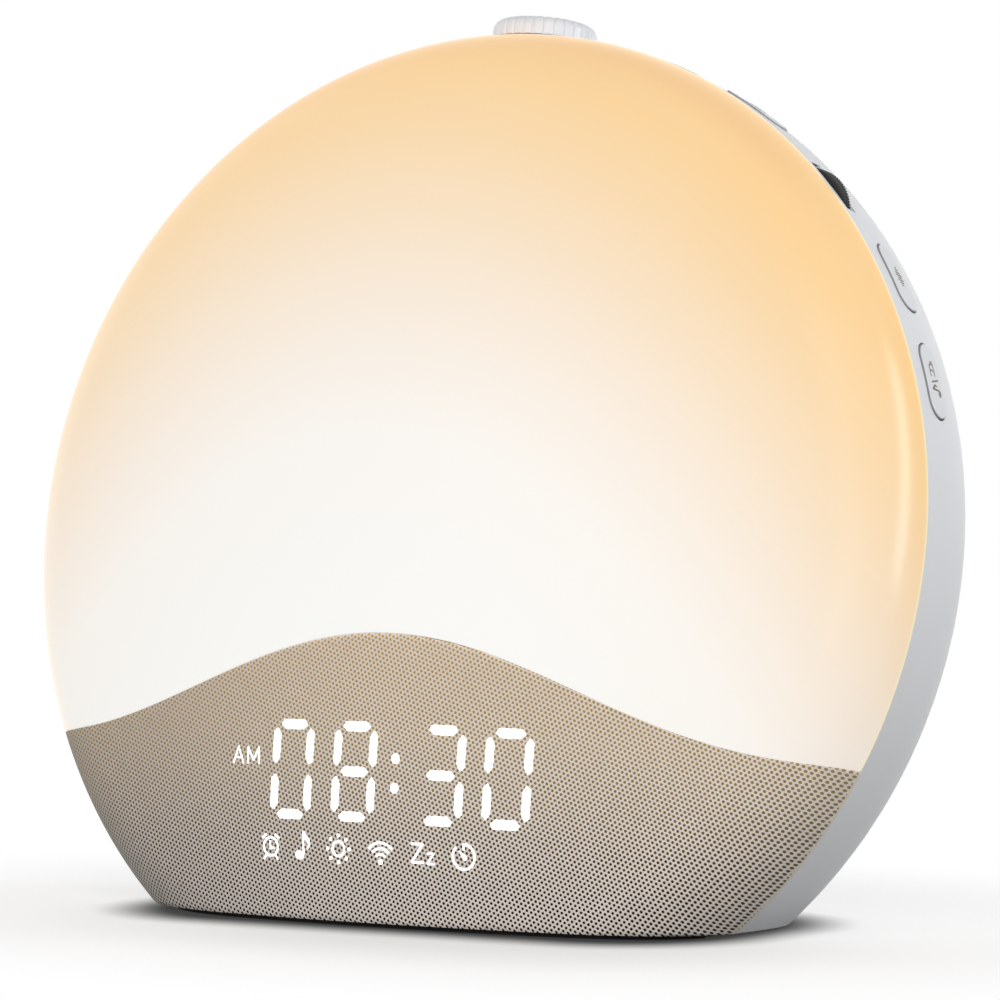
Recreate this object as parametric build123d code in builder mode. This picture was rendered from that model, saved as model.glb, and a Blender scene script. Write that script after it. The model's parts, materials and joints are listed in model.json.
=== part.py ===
from build123d import *
import os
from math import asin, copysign, cos, degrees, pi, radians, sin, sqrt

# A disc-shaped sunrise alarm clock. The disc leans back on a flat base. Its front is an opal light
# dome above a cloth-covered display panel; its rear shell carries the controls round its rim.
# Frame: X to the right, Y to the rear, Z up. The origin is on the table, midway along the base,
# under the centre of the disc. Millimetres.
os.makedirs("parts", exist_ok=True)

# ---- disc ----
face_radius = 92.5          # where the front meets the rear shell
lean = 10.0                 # the face looks up by this angle
base_loss = 23.5            # how much of the disc's height the base takes off
base_gap = 1.0              # rubber stands this proud of the flat base
dome_sphere = 295.0         # radius of the front's broad curve
dome_edge = 17.0            # radius of the front's rounded edge
dome_wall = 2.0
shell_depth = 46.0
shell_wall = 2.2
shell_draft = 0.05          # taper of the rim, mm of radius per mm of depth
shell_fullness = 3.7        # the higher, the squarer the rear
hair_gap = 0.05
part_gap = 0.3

# ---- wave line between light dome and cloth ----
wave_rise = 38.5            # its middle height over the table
wave_height = 9.3
wave_half_length = 80.0
panel_gap = 0.2

# ---- cloth panel ----
cloth_thickness = 0.55
grille_wall = 1.8

# ---- chassis ----
chassis_front = 0.8
chassis_plate = 2.0
chassis_edge_gap = 0.6
chassis_rim = 2.0
chassis_rim_rise = 2.2
standoff_radius = 3.0
cable_slot = (18.0, 3.5)

# ---- boards and screws ----
board_thickness = 1.2
screw_radius = 1.2
screw_head_radius = 2.2
screw_head = 1.4
screw_length = 6.0

# ---- light ----
light_board_edge = 12.5     # from the rim
light_board_over_wave = 16.5
led_size = 3.0
led_height = 0.8
led_rings = ((20.0, 8), (42.0, 16), (64.0, 24))
led_over_wave = 20.5
reflector_edge = 6.5        # from the rim
reflector_wall = 1.2
reflector_floor = 0.6
reflector_wave_gap = 2.0
led_hole_gap = 0.5

# ---- display ----
display_level = 8.0
display_rise = 19.0         # rises are heights over the table, up the face
display_board_size = (88.0, 34.0)
display_block_size = (74.0, 30.0)
display_block_height = 6.8
display_screw_spots = ((41.0, 12.0), (41.0, -12.0))
digit_spots = (-19.03, -5.46, 12.67, 26.24)
digits_rise = 23.05
bar_rise = 7.95             # from the middle bar to the top bar
digit_half_width = 4.05
digit_slant = 0.064         # sideways per unit of height
bar_length = 6.1
bar_width = 2.0
post_length = 6.4
post_width = 1.87
segment_gap = 0.1
colon_middle = 3.6
colon_rise = 2.6
colon_size = (1.6, 2.0)
icon_spots = (-24.2, -16.7, -8.8, 0.1, 8.9, 17.4)
icon_rise = 9.4
icon_size = 5.6
half_day_across = -29.6
half_day_rise = 25.0
half_day_size = (6.8, 3.8)

# ---- rear shell fastening ----
shell_screw_shares = ((0.67, 0.325), (0.627, -0.41))   # of the disc's radius
shell_post_radius = 4.2
shell_post_end = 16.0
shell_screw_radius = 1.45
shell_screw_head_radius = 2.9
shell_screw_head = 2.0
shell_screw_seat = 28.0
shell_screw_tip = 8.0

# ---- rim buttons ----
button_angles = {"music": 19.1, "noise": 31.9, "light": 59.6, "alarm": 73.0, "timer": 148.1, "set": 160.9}
button_depth = 7.6
button_length = 14.0
button_width = 6.8
button_proud = 0.35         # over the rim
button_lip_sunk = 3.8       # below the rim
button_lip = 1.0
button_lip_thickness = 1.0
button_gap = 0.3
button_travel = 0.4
button_edge = 0.35
stem_radius = 1.6
strip_sunk = 12.55          # below the rim
strip_thickness = 0.6
strip_front = 5.0
strip_rear = 13.0
right_strip_angles = (11.0, 79.0)
left_strip_angles = (141.0, 169.0)
carrier_wall = 2.1
switch_size = 6.0
switch_height = 3.2
plunger_radius = 1.75
plunger_gap = 0.15
plunger_proud = 1.1
plunger_sunk = 0.9

# ---- dimmer thumbwheel ----
wheel_angle = 44.1
wheel_radius = 8.0
wheel_proud = 1.2
wheel_front = 1.6
wheel_thickness = 2.8
wheel_teeth = 96
wheel_tooth = 0.2
wheel_gap = 0.8
wheel_shaft_radius = 1.5
wheel_shaft_gap = 0.08
scoop_radius = 40.0
scoop_depth = 1.8
scoop_front = 1.2
scoop_width = 9.6
scoop_flat = 3.4            # it keeps its full depth this far back, then runs out
scoop_run_out = 2.6
scoop_backing = 2.4
scoop_pad_radius = 11.5
pot_size = (8.0, 6.8)
pot_shift = 1.35            # the pot's shaft is off its middle, towards the rim
pot_height = 4.0
dimmer_board_length = 12.0
pot_gap = 0.6

# ---- dial ----
dial_depth = 9.4
dial_across = -1.15
dial_radius = 9.6
dial_clearance = 0.6        # over the rim
dial_height = 3.6
dial_shoulder = 2.0
dial_flutes = 30
dial_flute_radius = 0.32
dial_dish = 0.25
dial_travel = 0.5
dial_shaft_radius = 3.0
dial_shaft_gap = 0.05
dial_wall = 1.2
encoder_size = 12.0
encoder_sunk = 6.0          # below the rim
encoder_height = 6.0
bushing_radius = 3.5
bushing_height = 3.3
bushing_gap = 0.2
dial_pad_radius = 7.0
dial_pad_sunk = 5.2
encoder_board_size = (18.0, 15.0)
encoder_floor = 0.6
plate_radius = 2.0
plate_thickness = 0.7
shelf_thickness = 1.8

# ---- speaker ----
speaker_level = 6.0
speaker_flange_radius = 31.0
speaker_seat = 38.6
gasket_thickness = 0.6
basket_flange = 1.2
basket_mouth = 23.0
basket_neck = 15.0
basket_depth = 10.8
basket_straight = 2.0       # the mouth goes straight in this far, clear of the moving surround
basket_wall = 1.0
magnet_radius = 16.0
magnet_height = 9.0
coil_gap_outer = 7.6
coil_gap_inner = 6.2
coil_radius = 6.9
coil_wall = 0.4
cone_radius = 20.5
cone_drop = 6.0
cone_wall = 0.5
cap_rise = 1.7
cap_shoulder = (3.5, 1.4)     # radius, rise
surround_width = 1.9
speaker_screw_ring = 28.5
speaker_screw_angle = 45.0
speaker_screw_bite = 3.0
speaker_hole_radius = 1.0
speaker_hole_pitch = 4.2
speaker_hole_rings = 5

# ---- ports ----
port_rise = 25.0            # height over the table, up the face
port_pocket = (44.0, 12.0)
port_floor = 39.0
port_wall = 2.0
usb_c_spot = -12.0
usb_c_size = (9.0, 3.2)
usb_c_length = 7.5
usb_c_tongue = (6.5, 0.7)
usb_c_tongue_length = 5.6
usb_a_spot = 9.0
usb_a_size = (13.2, 5.7)
usb_a_length = 12.0
usb_a_tongue = (10.6, 1.9)
usb_a_tongue_length = 9.6
usb_a_tongue_rise = 1.1
socket_sheet = 0.35
port_board_size = (42.0, 14.5)
port_rib = 3.0
port_rib_spot = 15.0
port_rib_height = 2.4

# ---- main board ----
main_board_size = (96.0, 56.0)
main_board_middle = 2.0
main_board_level = 8.0
main_board_corner = 4.0
chip_height = 1.4
capacitor_radius = 4.0
capacitor_height = 8.0
capacitor_spots = ((-38.0, -14.0), (-28.0, -14.0), (40.0, 14.0))
chip_spots = ((-34.0, 14.0, 12.0), (0.0, 22.0, 10.0), (30.0, 18.0, 7.0))
connector_spots = ((-14.0, -20.0), (2.0, -20.0), (-40.0, 0.0))
connector_size = (9.0, 5.0)
connector_height = 5.0
cell_spot = (32.0, -10.0)
cell_radius = 10.0
cell_thickness = 3.2
cell_holder_wall = 1.4
cell_holder_floor = 0.8

# ---- ribbon cable ----
ribbon_width = 14.0
ribbon_thickness = 0.4
ribbon_start = 10.0         # over the display's middle
ribbon_on_board = 6.0       # past the main board's edge
ribbon_board_gap = 1.2

# ---- rubber ----
rubber_sunk = 0.6
base_pad_inset = 3.4        # from the rear shell's outside
front_pad_inset = 2.4       # from the face's outside
pad_seam_gap = 1.6
rubber_gap = 0.1

# ---- shared planes ----
seam_height = face_radius - base_loss
disc_centre = (0, 0, seam_height)
seam = Plane(origin=disc_centre, x_dir=(1, 0, 0), z_dir=(0, -cos(radians(lean)), sin(radians(lean))))
section = Plane(origin=disc_centre, x_dir=(1, 0, 0), z_dir=-seam.y_dir)
face_axis = Axis(disc_centre, seam.z_dir)
huge = 4 * face_radius      # beyond every piece

# ---- sizes that follow ----
dome_centre = -sqrt((dome_sphere - dome_edge) ** 2 - (face_radius - dome_edge) ** 2)
dome_turn = degrees(asin((face_radius - dome_edge) / (dome_sphere - dome_edge)))
wave_middle = wave_rise - seam_height
wave_low = wave_middle - wave_height
light_board_low = wave_middle + light_board_over_wave
led_low = wave_middle + led_over_wave
light_board_radius = face_radius - light_board_edge
reflector_radius = face_radius - reflector_edge
display_middle = display_rise - seam_height
digit_middle = digits_rise - seam_height
icon_level = icon_rise - seam_height
half_day_spot = (half_day_across, half_day_rise - seam_height)
shell_screw_spots = [(face_radius * across, face_radius * rise) for across, rise in shell_screw_shares]
button_lip_top = face_radius - button_lip_sunk
strip_inner = face_radius - strip_sunk
dial_base = face_radius + dial_clearance
encoder_top = face_radius - encoder_sunk
dial_pad_low = face_radius - dial_pad_sunk
port_level = port_rise - seam_height
ribbon_top = display_middle + ribbon_start
ribbon_bend = main_board_middle - main_board_size[1] / 2 - ribbon_board_gap
ribbon_end = ribbon_bend + ribbon_board_gap + ribbon_on_board
chassis_radius = face_radius - shell_wall - chassis_edge_gap
chassis_back = chassis_front - chassis_plate
board_front = chassis_front + board_thickness
display_front = display_level + board_thickness
strip_outer = strip_inner + strip_thickness
switch_top = strip_outer + switch_height
plunger_top = switch_top + plunger_proud
wheel_distance = face_radius + wheel_proud - wheel_radius
scoop_back = scoop_front + scoop_width + scoop_backing
pot_front = wheel_front + wheel_thickness + pot_gap
encoder_base = encoder_top - encoder_height
basket_front = speaker_seat - gasket_thickness - basket_flange
basket_back = basket_front - basket_depth
port_board_top = port_level - usb_a_size[1] / 2
main_board_back = main_board_level + board_thickness


def spot_on_face(x, rise, forward):
    """The world point at x across, rise up the face and forward of the seam."""
    return Vector(*disc_centre) + seam.x_dir * x + seam.y_dir * rise + seam.z_dir * forward


def rim_plane(angle, depth):
    """A plane on the disc's axis, depth behind the seam, looking out along a spoke.

    Its local x runs round the rim, its local y forward, and its offset is a distance from the axis.
    """
    spoke = seam.x_dir * cos(radians(angle)) + seam.y_dir * sin(radians(angle))
    around = seam.y_dir * cos(radians(angle)) - seam.x_dir * sin(radians(angle))
    return Plane(origin=spot_on_face(0, 0, -depth), x_dir=around, z_dir=spoke)


def spoke_point(angle, distance):
    """Face coordinates of a point at a distance from the disc's centre."""
    return (distance * cos(radians(angle)), distance * sin(radians(angle)))


def mirrored(spots):
    """Each spot and its mirror image across the middle of the face."""
    return [(side * x, y) for x, y in spots for side in (1, -1)]


def dome_outline(inset, back):
    """Half of the front's section: broad arc, edge arc, then straight down past the seam."""
    sphere = dome_sphere - inset
    edge = dome_edge - inset
    rim = face_radius - inset

    def on_sphere(turn):
        return (sphere * sin(radians(turn)), dome_centre + sphere * cos(radians(turn)))

    def on_edge(turn):
        return (face_radius - dome_edge + edge * sin(radians(turn)), edge * cos(radians(turn)))

    ThreePointArc(on_sphere(0), on_sphere(dome_turn / 2), on_sphere(dome_turn))
    ThreePointArc(on_sphere(dome_turn), on_edge((90 + dome_turn) / 2), (rim, 0))
    straight = [(rim, -back)] if back else []
    Polyline((rim, 0), *straight, (0, -back), on_sphere(0))


def shell_outline(inset, front):
    """Half of the rear shell's section: a tapered rim that turns into a full rounded back."""
    depth = shell_depth - inset

    def on_back(turn):
        y = depth * sin(radians(turn)) ** (2 / shell_fullness)
        return ((face_radius - inset - shell_draft * y) * cos(radians(turn)), -y)

    points = [on_back(turn) for turn in (0, 4, 10, 18, 28, 40, 52, 64, 76)] + [(0, -depth)]
    Spline(points, tangents=[(-shell_draft, -1), (-1, 0)])
    straight = [(face_radius - inset, front)] if front else []
    Polyline(points[-1], (0, front), *straight, points[0])


def turned(outline, *sizes):
    """A solid turned about the disc's axis from half a section."""
    with BuildPart() as solid:
        with BuildSketch(section):
            with BuildLine():
                outline(*sizes)
            make_face()
        revolve(axis=face_axis)
    return solid.part


def rubber_strip(outline, inset, seam_gap):
    """A flat strip on the table that follows a turned form, on the seam's side that seam_gap points to."""
    with BuildPart() as strip:
        add(turned(outline, inset, 0))
        with BuildSketch(seam.offset(seam_gap)):
            Rectangle(huge, huge)
        extrude(amount=copysign(huge, seam_gap), mode=Mode.INTERSECT)
        with BuildSketch():
            Rectangle(huge, huge)
        extrude(amount=base_gap + rubber_sunk, mode=Mode.INTERSECT)
    return strip.part


def above(level):
    """Everything higher than a level over the table."""
    with BuildPart() as block:
        with BuildSketch(Plane.XY.offset(level)):
            Rectangle(huge, huge)
        extrude(amount=huge)
    return block.part


def wave_edge(shift):
    """The wave line, from one side of the face to the other, moved up by a shift."""
    crest = [x * wave_half_length / 4 for x in range(-4, 5)]
    curve = [(x, wave_middle + shift + wave_height * cos(pi * x / wave_half_length)) for x in crest]
    Polyline((-huge, wave_low + shift), curve[0])
    Spline(curve, tangents=[(1, 0), (1, 0)])
    Polyline(curve[-1], (huge, wave_low + shift))


def face_part_above(shift):
    """The part of the face above the wave line."""
    with BuildLine() as outline:
        wave_edge(shift)
        Polyline((huge, wave_low + shift), (huge, huge), (-huge, huge), (-huge, wave_low + shift))
    make_face(outline.edges())


def face_part_below(shift):
    """The part of the face below the wave line."""
    with BuildLine() as outline:
        wave_edge(shift)
        Polyline((huge, wave_low + shift), (huge, -huge), (-huge, -huge), (-huge, wave_low + shift))
    make_face(outline.edges())


def rim_sector(start, end, inner, outer):
    """A sketch of a ring's arc between two angles."""
    with BuildLine() as outline:
        CenterArc((0, 0), inner, start, end - start)
        CenterArc((0, 0), outer, start, end - start)
        Line(spoke_point(start, inner), spoke_point(start, outer))
        Line(spoke_point(end, inner), spoke_point(end, outer))
    make_face(outline.edges())


def finish(part, name):
    """Names a finished piece and writes it."""
    part.label = name
    export_step(part, f"parts/{name}.step")


# ---- solids that several pieces share ----
dome_outside = turned(dome_outline, 0, 0.0)
dome_inside = turned(dome_outline, dome_wall, 1.0)
cloth_inside = turned(dome_outline, cloth_thickness, 1.0)
grille_outside = turned(dome_outline, cloth_thickness + hair_gap, 0.0)
grille_inside = turned(dome_outline, cloth_thickness + hair_gap + grille_wall, 1.0)
reflector_limit = turned(dome_outline, dome_wall + part_gap, 1.0)
shell_outside = turned(shell_outline, 0, 0)
button_crown = turned(shell_outline, -button_proud, 0)
shell_inside = turned(shell_outline, shell_wall, 1.0)
over_base = above(base_gap)
over_shell_floor = above(base_gap + shell_wall)
over_grille_floor = above(base_gap + grille_wall)
over_chassis_floor = above(base_gap + shell_wall + part_gap)

wheel_spot = spoke_point(wheel_angle, wheel_distance)
dial_spoke = Plane(origin=spot_on_face(dial_across, 0, -dial_depth), x_dir=-seam.x_dir, z_dir=seam.y_dir)
rear_screw_spots = mirrored(shell_screw_spots)
speaker_spot = (0, speaker_level)

# ---- pads, posts and ribs moulded inside the rear shell ----
with BuildPart() as shell_pads:
    with BuildSketch(seam.offset(-scoop_back)):
        Circle(face_radius)
        Circle(face_radius - scoop_depth - scoop_backing, mode=Mode.SUBTRACT)
        with Locations(spoke_point(wheel_angle, face_radius)):
            Circle(scoop_pad_radius, mode=Mode.INTERSECT)
    extrude(amount=scoop_back + chassis_back - part_gap)
    with BuildSketch(seam.offset(-shell_depth)):
        with Locations((0, port_level)):
            Rectangle(port_pocket[0] + 2 * port_wall, port_pocket[1] + 2 * port_wall)
    extrude(amount=shell_depth - port_floor + port_wall)
    with BuildSketch(seam.offset(-port_floor)):
        for side in (-1, 1):
            with Locations((side * port_rib_spot, port_board_top - board_thickness - port_rib_height / 2)):
                Rectangle(port_rib, port_rib_height)
    extrude(amount=port_wall + port_board_size[1])
    with BuildSketch(seam.offset(-shell_depth)):
        with Locations(speaker_spot):
            Circle(speaker_flange_radius + hair_gap)
            Circle(basket_mouth + basket_wall, mode=Mode.SUBTRACT)
    extrude(amount=shell_depth - speaker_seat)
    with BuildSketch(seam.offset(-shell_depth)):
        with Locations(*rear_screw_spots):
            Circle(shell_post_radius)
    extrude(amount=shell_depth - shell_post_end)
    with BuildSketch(dial_spoke.offset(dial_pad_low)):
        Circle(dial_pad_radius)
    extrude(amount=face_radius - dial_pad_low)
    add(shell_outside, mode=Mode.INTERSECT)

# ---- thumb scoop round the wheel: steep in front, running out to the rear ----
scoop_spoke = rim_plane(wheel_angle, 0)
scoop_middle = scoop_spoke.offset(face_radius - scoop_depth + scoop_radius).origin
scoop_section = Plane(origin=scoop_middle, x_dir=scoop_spoke.z_dir, z_dir=scoop_spoke.x_dir)
scoop_end = (-scoop_radius + scoop_run_out, -scoop_front - scoop_width)

with BuildPart() as scoop_form:
    with BuildSketch(scoop_section):
        with BuildLine():
            Polyline((0, -scoop_front), (-scoop_radius, -scoop_front),
                     (-scoop_radius, -scoop_front - scoop_flat))
            Spline((-scoop_radius, -scoop_front - scoop_flat), scoop_end, tangents=[(0, -1), (1, -1)])
            Polyline(scoop_end, (0, scoop_end[1]), (0, -scoop_front))
        make_face()
    revolve(axis=Axis(scoop_middle, seam.z_dir))

# ---- rear_shell: the moulded white casing ----
with BuildPart() as shell_hollow:
    add(shell_inside)
    add(over_shell_floor, mode=Mode.INTERSECT)

with BuildPart() as rear_shell:
    add(shell_outside)
    add(shell_hollow.part, mode=Mode.SUBTRACT)
    add(shell_pads.part)
    add(over_base, mode=Mode.INTERSECT)
    for angle in button_angles.values():
        with BuildSketch(rim_plane(angle, button_depth).offset(button_lip_top)):
            SlotOverall(button_length + 2 * button_gap, button_width + 2 * button_gap)
        extrude(amount=face_radius, mode=Mode.SUBTRACT)
    add(scoop_form.part, mode=Mode.SUBTRACT)
    with BuildSketch(seam.offset(-wheel_front + part_gap)):
        with Locations(wheel_spot):
            Circle(wheel_radius + wheel_gap)
    extrude(amount=-wheel_thickness - 2 * part_gap, mode=Mode.SUBTRACT)
    with BuildSketch(dial_spoke.offset(dial_pad_low)):
        Circle(bushing_radius + bushing_gap)
    extrude(amount=face_radius, mode=Mode.SUBTRACT)
    with BuildSketch(seam.offset(-port_floor)):
        with Locations((0, port_level)):
            RectangleRounded(*port_pocket, port_wall)
    extrude(amount=-shell_depth, mode=Mode.SUBTRACT)
    with BuildSketch(seam.offset(-port_floor)):
        with Locations((usb_c_spot, port_board_top + usb_c_size[1] / 2)):
            SlotOverall(usb_c_size[0] + 2 * hair_gap, usb_c_size[1] + 2 * hair_gap)
        with Locations((usb_a_spot, port_level)):
            Rectangle(usb_a_size[0] + 2 * hair_gap, usb_a_size[1] + 2 * hair_gap)
    extrude(amount=2 * port_wall, mode=Mode.SUBTRACT)
    with BuildSketch(seam.offset(-shell_depth)):
        with Locations(speaker_spot):
            Circle(speaker_hole_radius)
            for ring in range(1, speaker_hole_rings + 1):
                with PolarLocations(ring * speaker_hole_pitch, 6 * ring):
                    Circle(speaker_hole_radius)
    extrude(amount=shell_depth - speaker_seat, mode=Mode.SUBTRACT)
    with BuildSketch(seam.offset(-speaker_seat)):
        with Locations(speaker_spot):
            with PolarLocations(speaker_screw_ring, 4, speaker_screw_angle):
                Circle(screw_radius + hair_gap)
    extrude(amount=-speaker_screw_bite, mode=Mode.SUBTRACT)
    with BuildSketch(seam.offset(-shell_depth)):
        with Locations(*rear_screw_spots):
            Circle(shell_screw_radius + part_gap)
    extrude(amount=shell_depth, mode=Mode.SUBTRACT)
    with BuildSketch(seam.offset(-shell_depth)):
        with Locations(*rear_screw_spots):
            Circle(shell_screw_head_radius + part_gap)
    extrude(amount=shell_depth - shell_screw_seat, mode=Mode.SUBTRACT)
    add(rubber_strip(shell_outline, base_pad_inset - rubber_gap, -pad_seam_gap + rubber_gap),
        mode=Mode.SUBTRACT)
finish(rear_shell.part, "rear_shell")

# ---- chassis: the plate behind the light and display ----
main_screw_spots = [
    (side * (main_board_size[0] / 2 - main_board_corner),
     main_board_middle + rise * (main_board_size[1] / 2 - main_board_corner))
    for side in (1, -1) for rise in (1, -1)]
display_screws = [(x, display_middle + rise) for x, rise in mirrored(display_screw_spots)]

with BuildPart() as chassis:
    with BuildSketch(seam.offset(chassis_back)):
        Circle(chassis_radius)
    extrude(amount=chassis_plate)
    with BuildSketch(seam.offset(chassis_front)):
        Circle(chassis_radius)
        Circle(chassis_radius - chassis_rim, mode=Mode.SUBTRACT)
    extrude(amount=chassis_rim_rise)
    for start, end in (right_strip_angles, left_strip_angles):
        with BuildSketch(seam.offset(-strip_rear)):
            rim_sector(start, end, strip_inner - carrier_wall, strip_inner)
        extrude(amount=strip_rear + chassis_back)
    with BuildSketch(seam.offset(-shell_post_end)):
        with Locations(*rear_screw_spots):
            Circle(shell_post_radius)
    extrude(amount=shell_post_end + chassis_back)
    with BuildSketch(seam.offset(chassis_front)):
        with Locations(*display_screws):
            Circle(standoff_radius)
    extrude(amount=display_level - chassis_front)
    with BuildSketch(seam.offset(-main_board_level)):
        with Locations(*main_screw_spots):
            Circle(standoff_radius)
    extrude(amount=main_board_level + chassis_back)
    with BuildSketch(seam.offset(chassis_back)):
        with Locations((dial_across, encoder_base - board_thickness - shelf_thickness / 2)):
            Rectangle(encoder_board_size[0], shelf_thickness)
    extrude(amount=-encoder_board_size[1])
    add(over_chassis_floor, mode=Mode.INTERSECT)
    with BuildSketch(seam.offset(-shell_post_end)):
        with Locations(*rear_screw_spots):
            Circle(shell_screw_radius)
    extrude(amount=shell_post_end - shell_screw_tip + part_gap, mode=Mode.SUBTRACT)
    with BuildSketch(seam.offset(display_level)):
        with Locations(*display_screws):
            Circle(screw_radius)
    extrude(amount=-screw_length, mode=Mode.SUBTRACT)
    with BuildSketch(seam.offset(-main_board_level)):
        with Locations(*main_screw_spots):
            Circle(screw_radius)
    extrude(amount=screw_length, mode=Mode.SUBTRACT)
    with BuildSketch(seam.offset(-wheel_front + part_gap)):
        with Locations(wheel_spot):
            Circle(wheel_radius + wheel_gap)
    extrude(amount=-wheel_thickness - 2 * part_gap, mode=Mode.SUBTRACT)
    with BuildSketch(seam.offset(chassis_back)):
        with Locations((0, ribbon_bend)):
            Rectangle(*cable_slot)
    extrude(amount=chassis_plate, mode=Mode.SUBTRACT)
finish(chassis.part, "chassis")

# ---- diffuser_dome: the opal light dome above the wave line ----
with BuildPart() as diffuser_dome:
    add(dome_outside)
    add(dome_inside, mode=Mode.SUBTRACT)
    with BuildSketch(seam):
        face_part_above(panel_gap / 2)
    extrude(amount=face_radius, mode=Mode.INTERSECT)
finish(diffuser_dome.part, "diffuser_dome")

# ---- grille_frame: the moulded panel under the cloth, with the display's window ----
with BuildPart() as grille_hollow:
    add(grille_inside)
    add(over_grille_floor, mode=Mode.INTERSECT)

with BuildPart() as grille_frame:
    add(grille_outside)
    add(grille_hollow.part, mode=Mode.SUBTRACT)
    add(over_base, mode=Mode.INTERSECT)
    with BuildSketch(seam):
        face_part_below(-panel_gap)
    extrude(amount=face_radius, mode=Mode.INTERSECT)
    with BuildSketch(seam.offset(display_front)):
        with Locations((0, display_middle)):
            Rectangle(display_block_size[0] + 2 * part_gap, display_block_size[1] + 2 * part_gap)
    extrude(amount=face_radius, mode=Mode.SUBTRACT)
    add(rubber_strip(dome_outline, front_pad_inset - rubber_gap, pad_seam_gap - rubber_gap),
        mode=Mode.SUBTRACT)
finish(grille_frame.part, "grille_frame")

# ---- fabric_cover: the cloth stretched over the panel ----
with BuildPart() as fabric_cover:
    add(dome_outside)
    add(cloth_inside, mode=Mode.SUBTRACT)
    add(over_base, mode=Mode.INTERSECT)
    with BuildSketch(seam):
        face_part_below(-panel_gap / 2)
    extrude(amount=face_radius, mode=Mode.INTERSECT)
finish(fabric_cover.part, "fabric_cover")

# ---- light: board, two kinds of lamps and the white reflector ----
with BuildPart() as light_board:
    with BuildSketch(seam.offset(chassis_front)):
        Circle(light_board_radius)
        with Locations((0, light_board_low)):
            Rectangle(huge, huge, align=(Align.CENTER, Align.MIN), mode=Mode.INTERSECT)
    extrude(amount=board_thickness)
finish(light_board.part, "light_board")

led_spots = [spoke_point(360 * turn / count, radius)
             for radius, count in led_rings for turn in range(count)]
led_spots = [spot for spot in led_spots if spot[1] > led_low]

for lamp_name, lamp_spots in (("warm_leds", led_spots[::2]), ("white_leds", led_spots[1::2])):
    with BuildPart() as leds:
        with BuildSketch(seam.offset(board_front)):
            with Locations(*lamp_spots):
                Rectangle(led_size, led_size)
        extrude(amount=led_height)
    finish(leds.part, lamp_name)

with BuildPart() as light_reflector:
    with BuildSketch(seam.offset(board_front)):
        face_part_above(reflector_wave_gap)
        Circle(reflector_radius, mode=Mode.INTERSECT)
    extrude(amount=face_radius)
    with BuildSketch(seam.offset(board_front + reflector_floor)):
        face_part_above(reflector_wave_gap + reflector_wall)
        Circle(reflector_radius - reflector_wall, mode=Mode.INTERSECT)
    extrude(amount=face_radius, mode=Mode.SUBTRACT)
    with BuildSketch(seam.offset(board_front)):
        with Locations(*led_spots):
            Rectangle(led_size + 2 * led_hole_gap, led_size + 2 * led_hole_gap)
    extrude(amount=reflector_floor, mode=Mode.SUBTRACT)
    add(reflector_limit, mode=Mode.INTERSECT)
finish(light_reflector.part, "light_reflector")

# ---- display: board, black block, light guides ----
with BuildPart() as display_board:
    with BuildSketch(seam.offset(display_level)):
        with Locations((0, display_middle)):
            RectangleRounded(*display_board_size, standoff_radius)
        with Locations(*display_screws):
            Circle(screw_radius, mode=Mode.SUBTRACT)
    extrude(amount=board_thickness)
finish(display_board.part, "display_board")


def pointed_bar(length, width):
    """A flat bar with pointed ends, as in a seven-segment digit."""
    Polygon((-length / 2, 0), (-length / 2 + width / 2, width / 2), (length / 2 - width / 2, width / 2),
            (length / 2, 0), (length / 2 - width / 2, -width / 2), (-length / 2 + width / 2, -width / 2))


def digit_bars(growth):
    """All seven bars of each digit, and the colon's two dots, grown by a clearance."""
    for middle in digit_spots:
        for rise in (-1, 0, 1):
            with Locations((middle + rise * bar_rise * digit_slant, digit_middle + rise * bar_rise)):
                pointed_bar(bar_length + growth, bar_width + growth)
        for side in (-1, 1):
            for rise in (-0.5, 0.5):
                lift = rise * bar_rise
                spot = (middle + side * digit_half_width + lift * digit_slant, digit_middle + lift)
                with Locations(Location(spot, 90 - degrees(digit_slant))):
                    pointed_bar(post_length + growth, post_width + growth)
    for rise in (-1, 1):
        spot = (colon_middle + rise * colon_rise * digit_slant, digit_middle + rise * colon_rise)
        with Locations(spot):
            RectangleRounded(colon_size[0] + growth, colon_size[1] + growth, colon_size[0] / 3)


def icon_windows(growth):
    """The row of icon windows and the half-day window beside the digits."""
    with Locations(*[(x, icon_level) for x in icon_spots]):
        RectangleRounded(icon_size + growth, icon_size + growth, icon_size / 6)
    with Locations(half_day_spot):
        RectangleRounded(half_day_size[0] + growth, half_day_size[1] + growth, half_day_size[1] / 6)


with BuildPart() as display_block:
    with BuildSketch(seam.offset(display_front)):
        with Locations((0, display_middle)):
            Rectangle(*display_block_size)
    extrude(amount=display_block_height)
    with BuildSketch(seam.offset(display_front)):
        digit_bars(2 * segment_gap)
        icon_windows(2 * segment_gap)
    extrude(amount=display_block_height, mode=Mode.SUBTRACT)
finish(display_block.part, "display_block")

for guide_name, guide_windows in (("display_segments", digit_bars), ("display_icons", icon_windows)):
    with BuildPart() as guides:
        with BuildSketch(seam.offset(display_front + segment_gap)):
            guide_windows(0)
        extrude(amount=face_radius)
        add(grille_outside, mode=Mode.INTERSECT)
    finish(guides.part, guide_name)

# ---- main board and what is soldered to it ----
with BuildPart() as main_board:
    with BuildSketch(seam.offset(-main_board_level)):
        with Locations((0, main_board_middle)):
            RectangleRounded(*main_board_size, main_board_corner / 2)
        with Locations(*main_screw_spots):
            Circle(screw_radius, mode=Mode.SUBTRACT)
    extrude(amount=-board_thickness)
finish(main_board.part, "main_board")

with BuildPart() as board_chips:
    for x, rise, size in chip_spots:
        with BuildSketch(seam.offset(-main_board_back)):
            with Locations((x, rise)):
                Rectangle(size, size)
        extrude(amount=-chip_height)
finish(board_chips.part, "board_chips")

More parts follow.
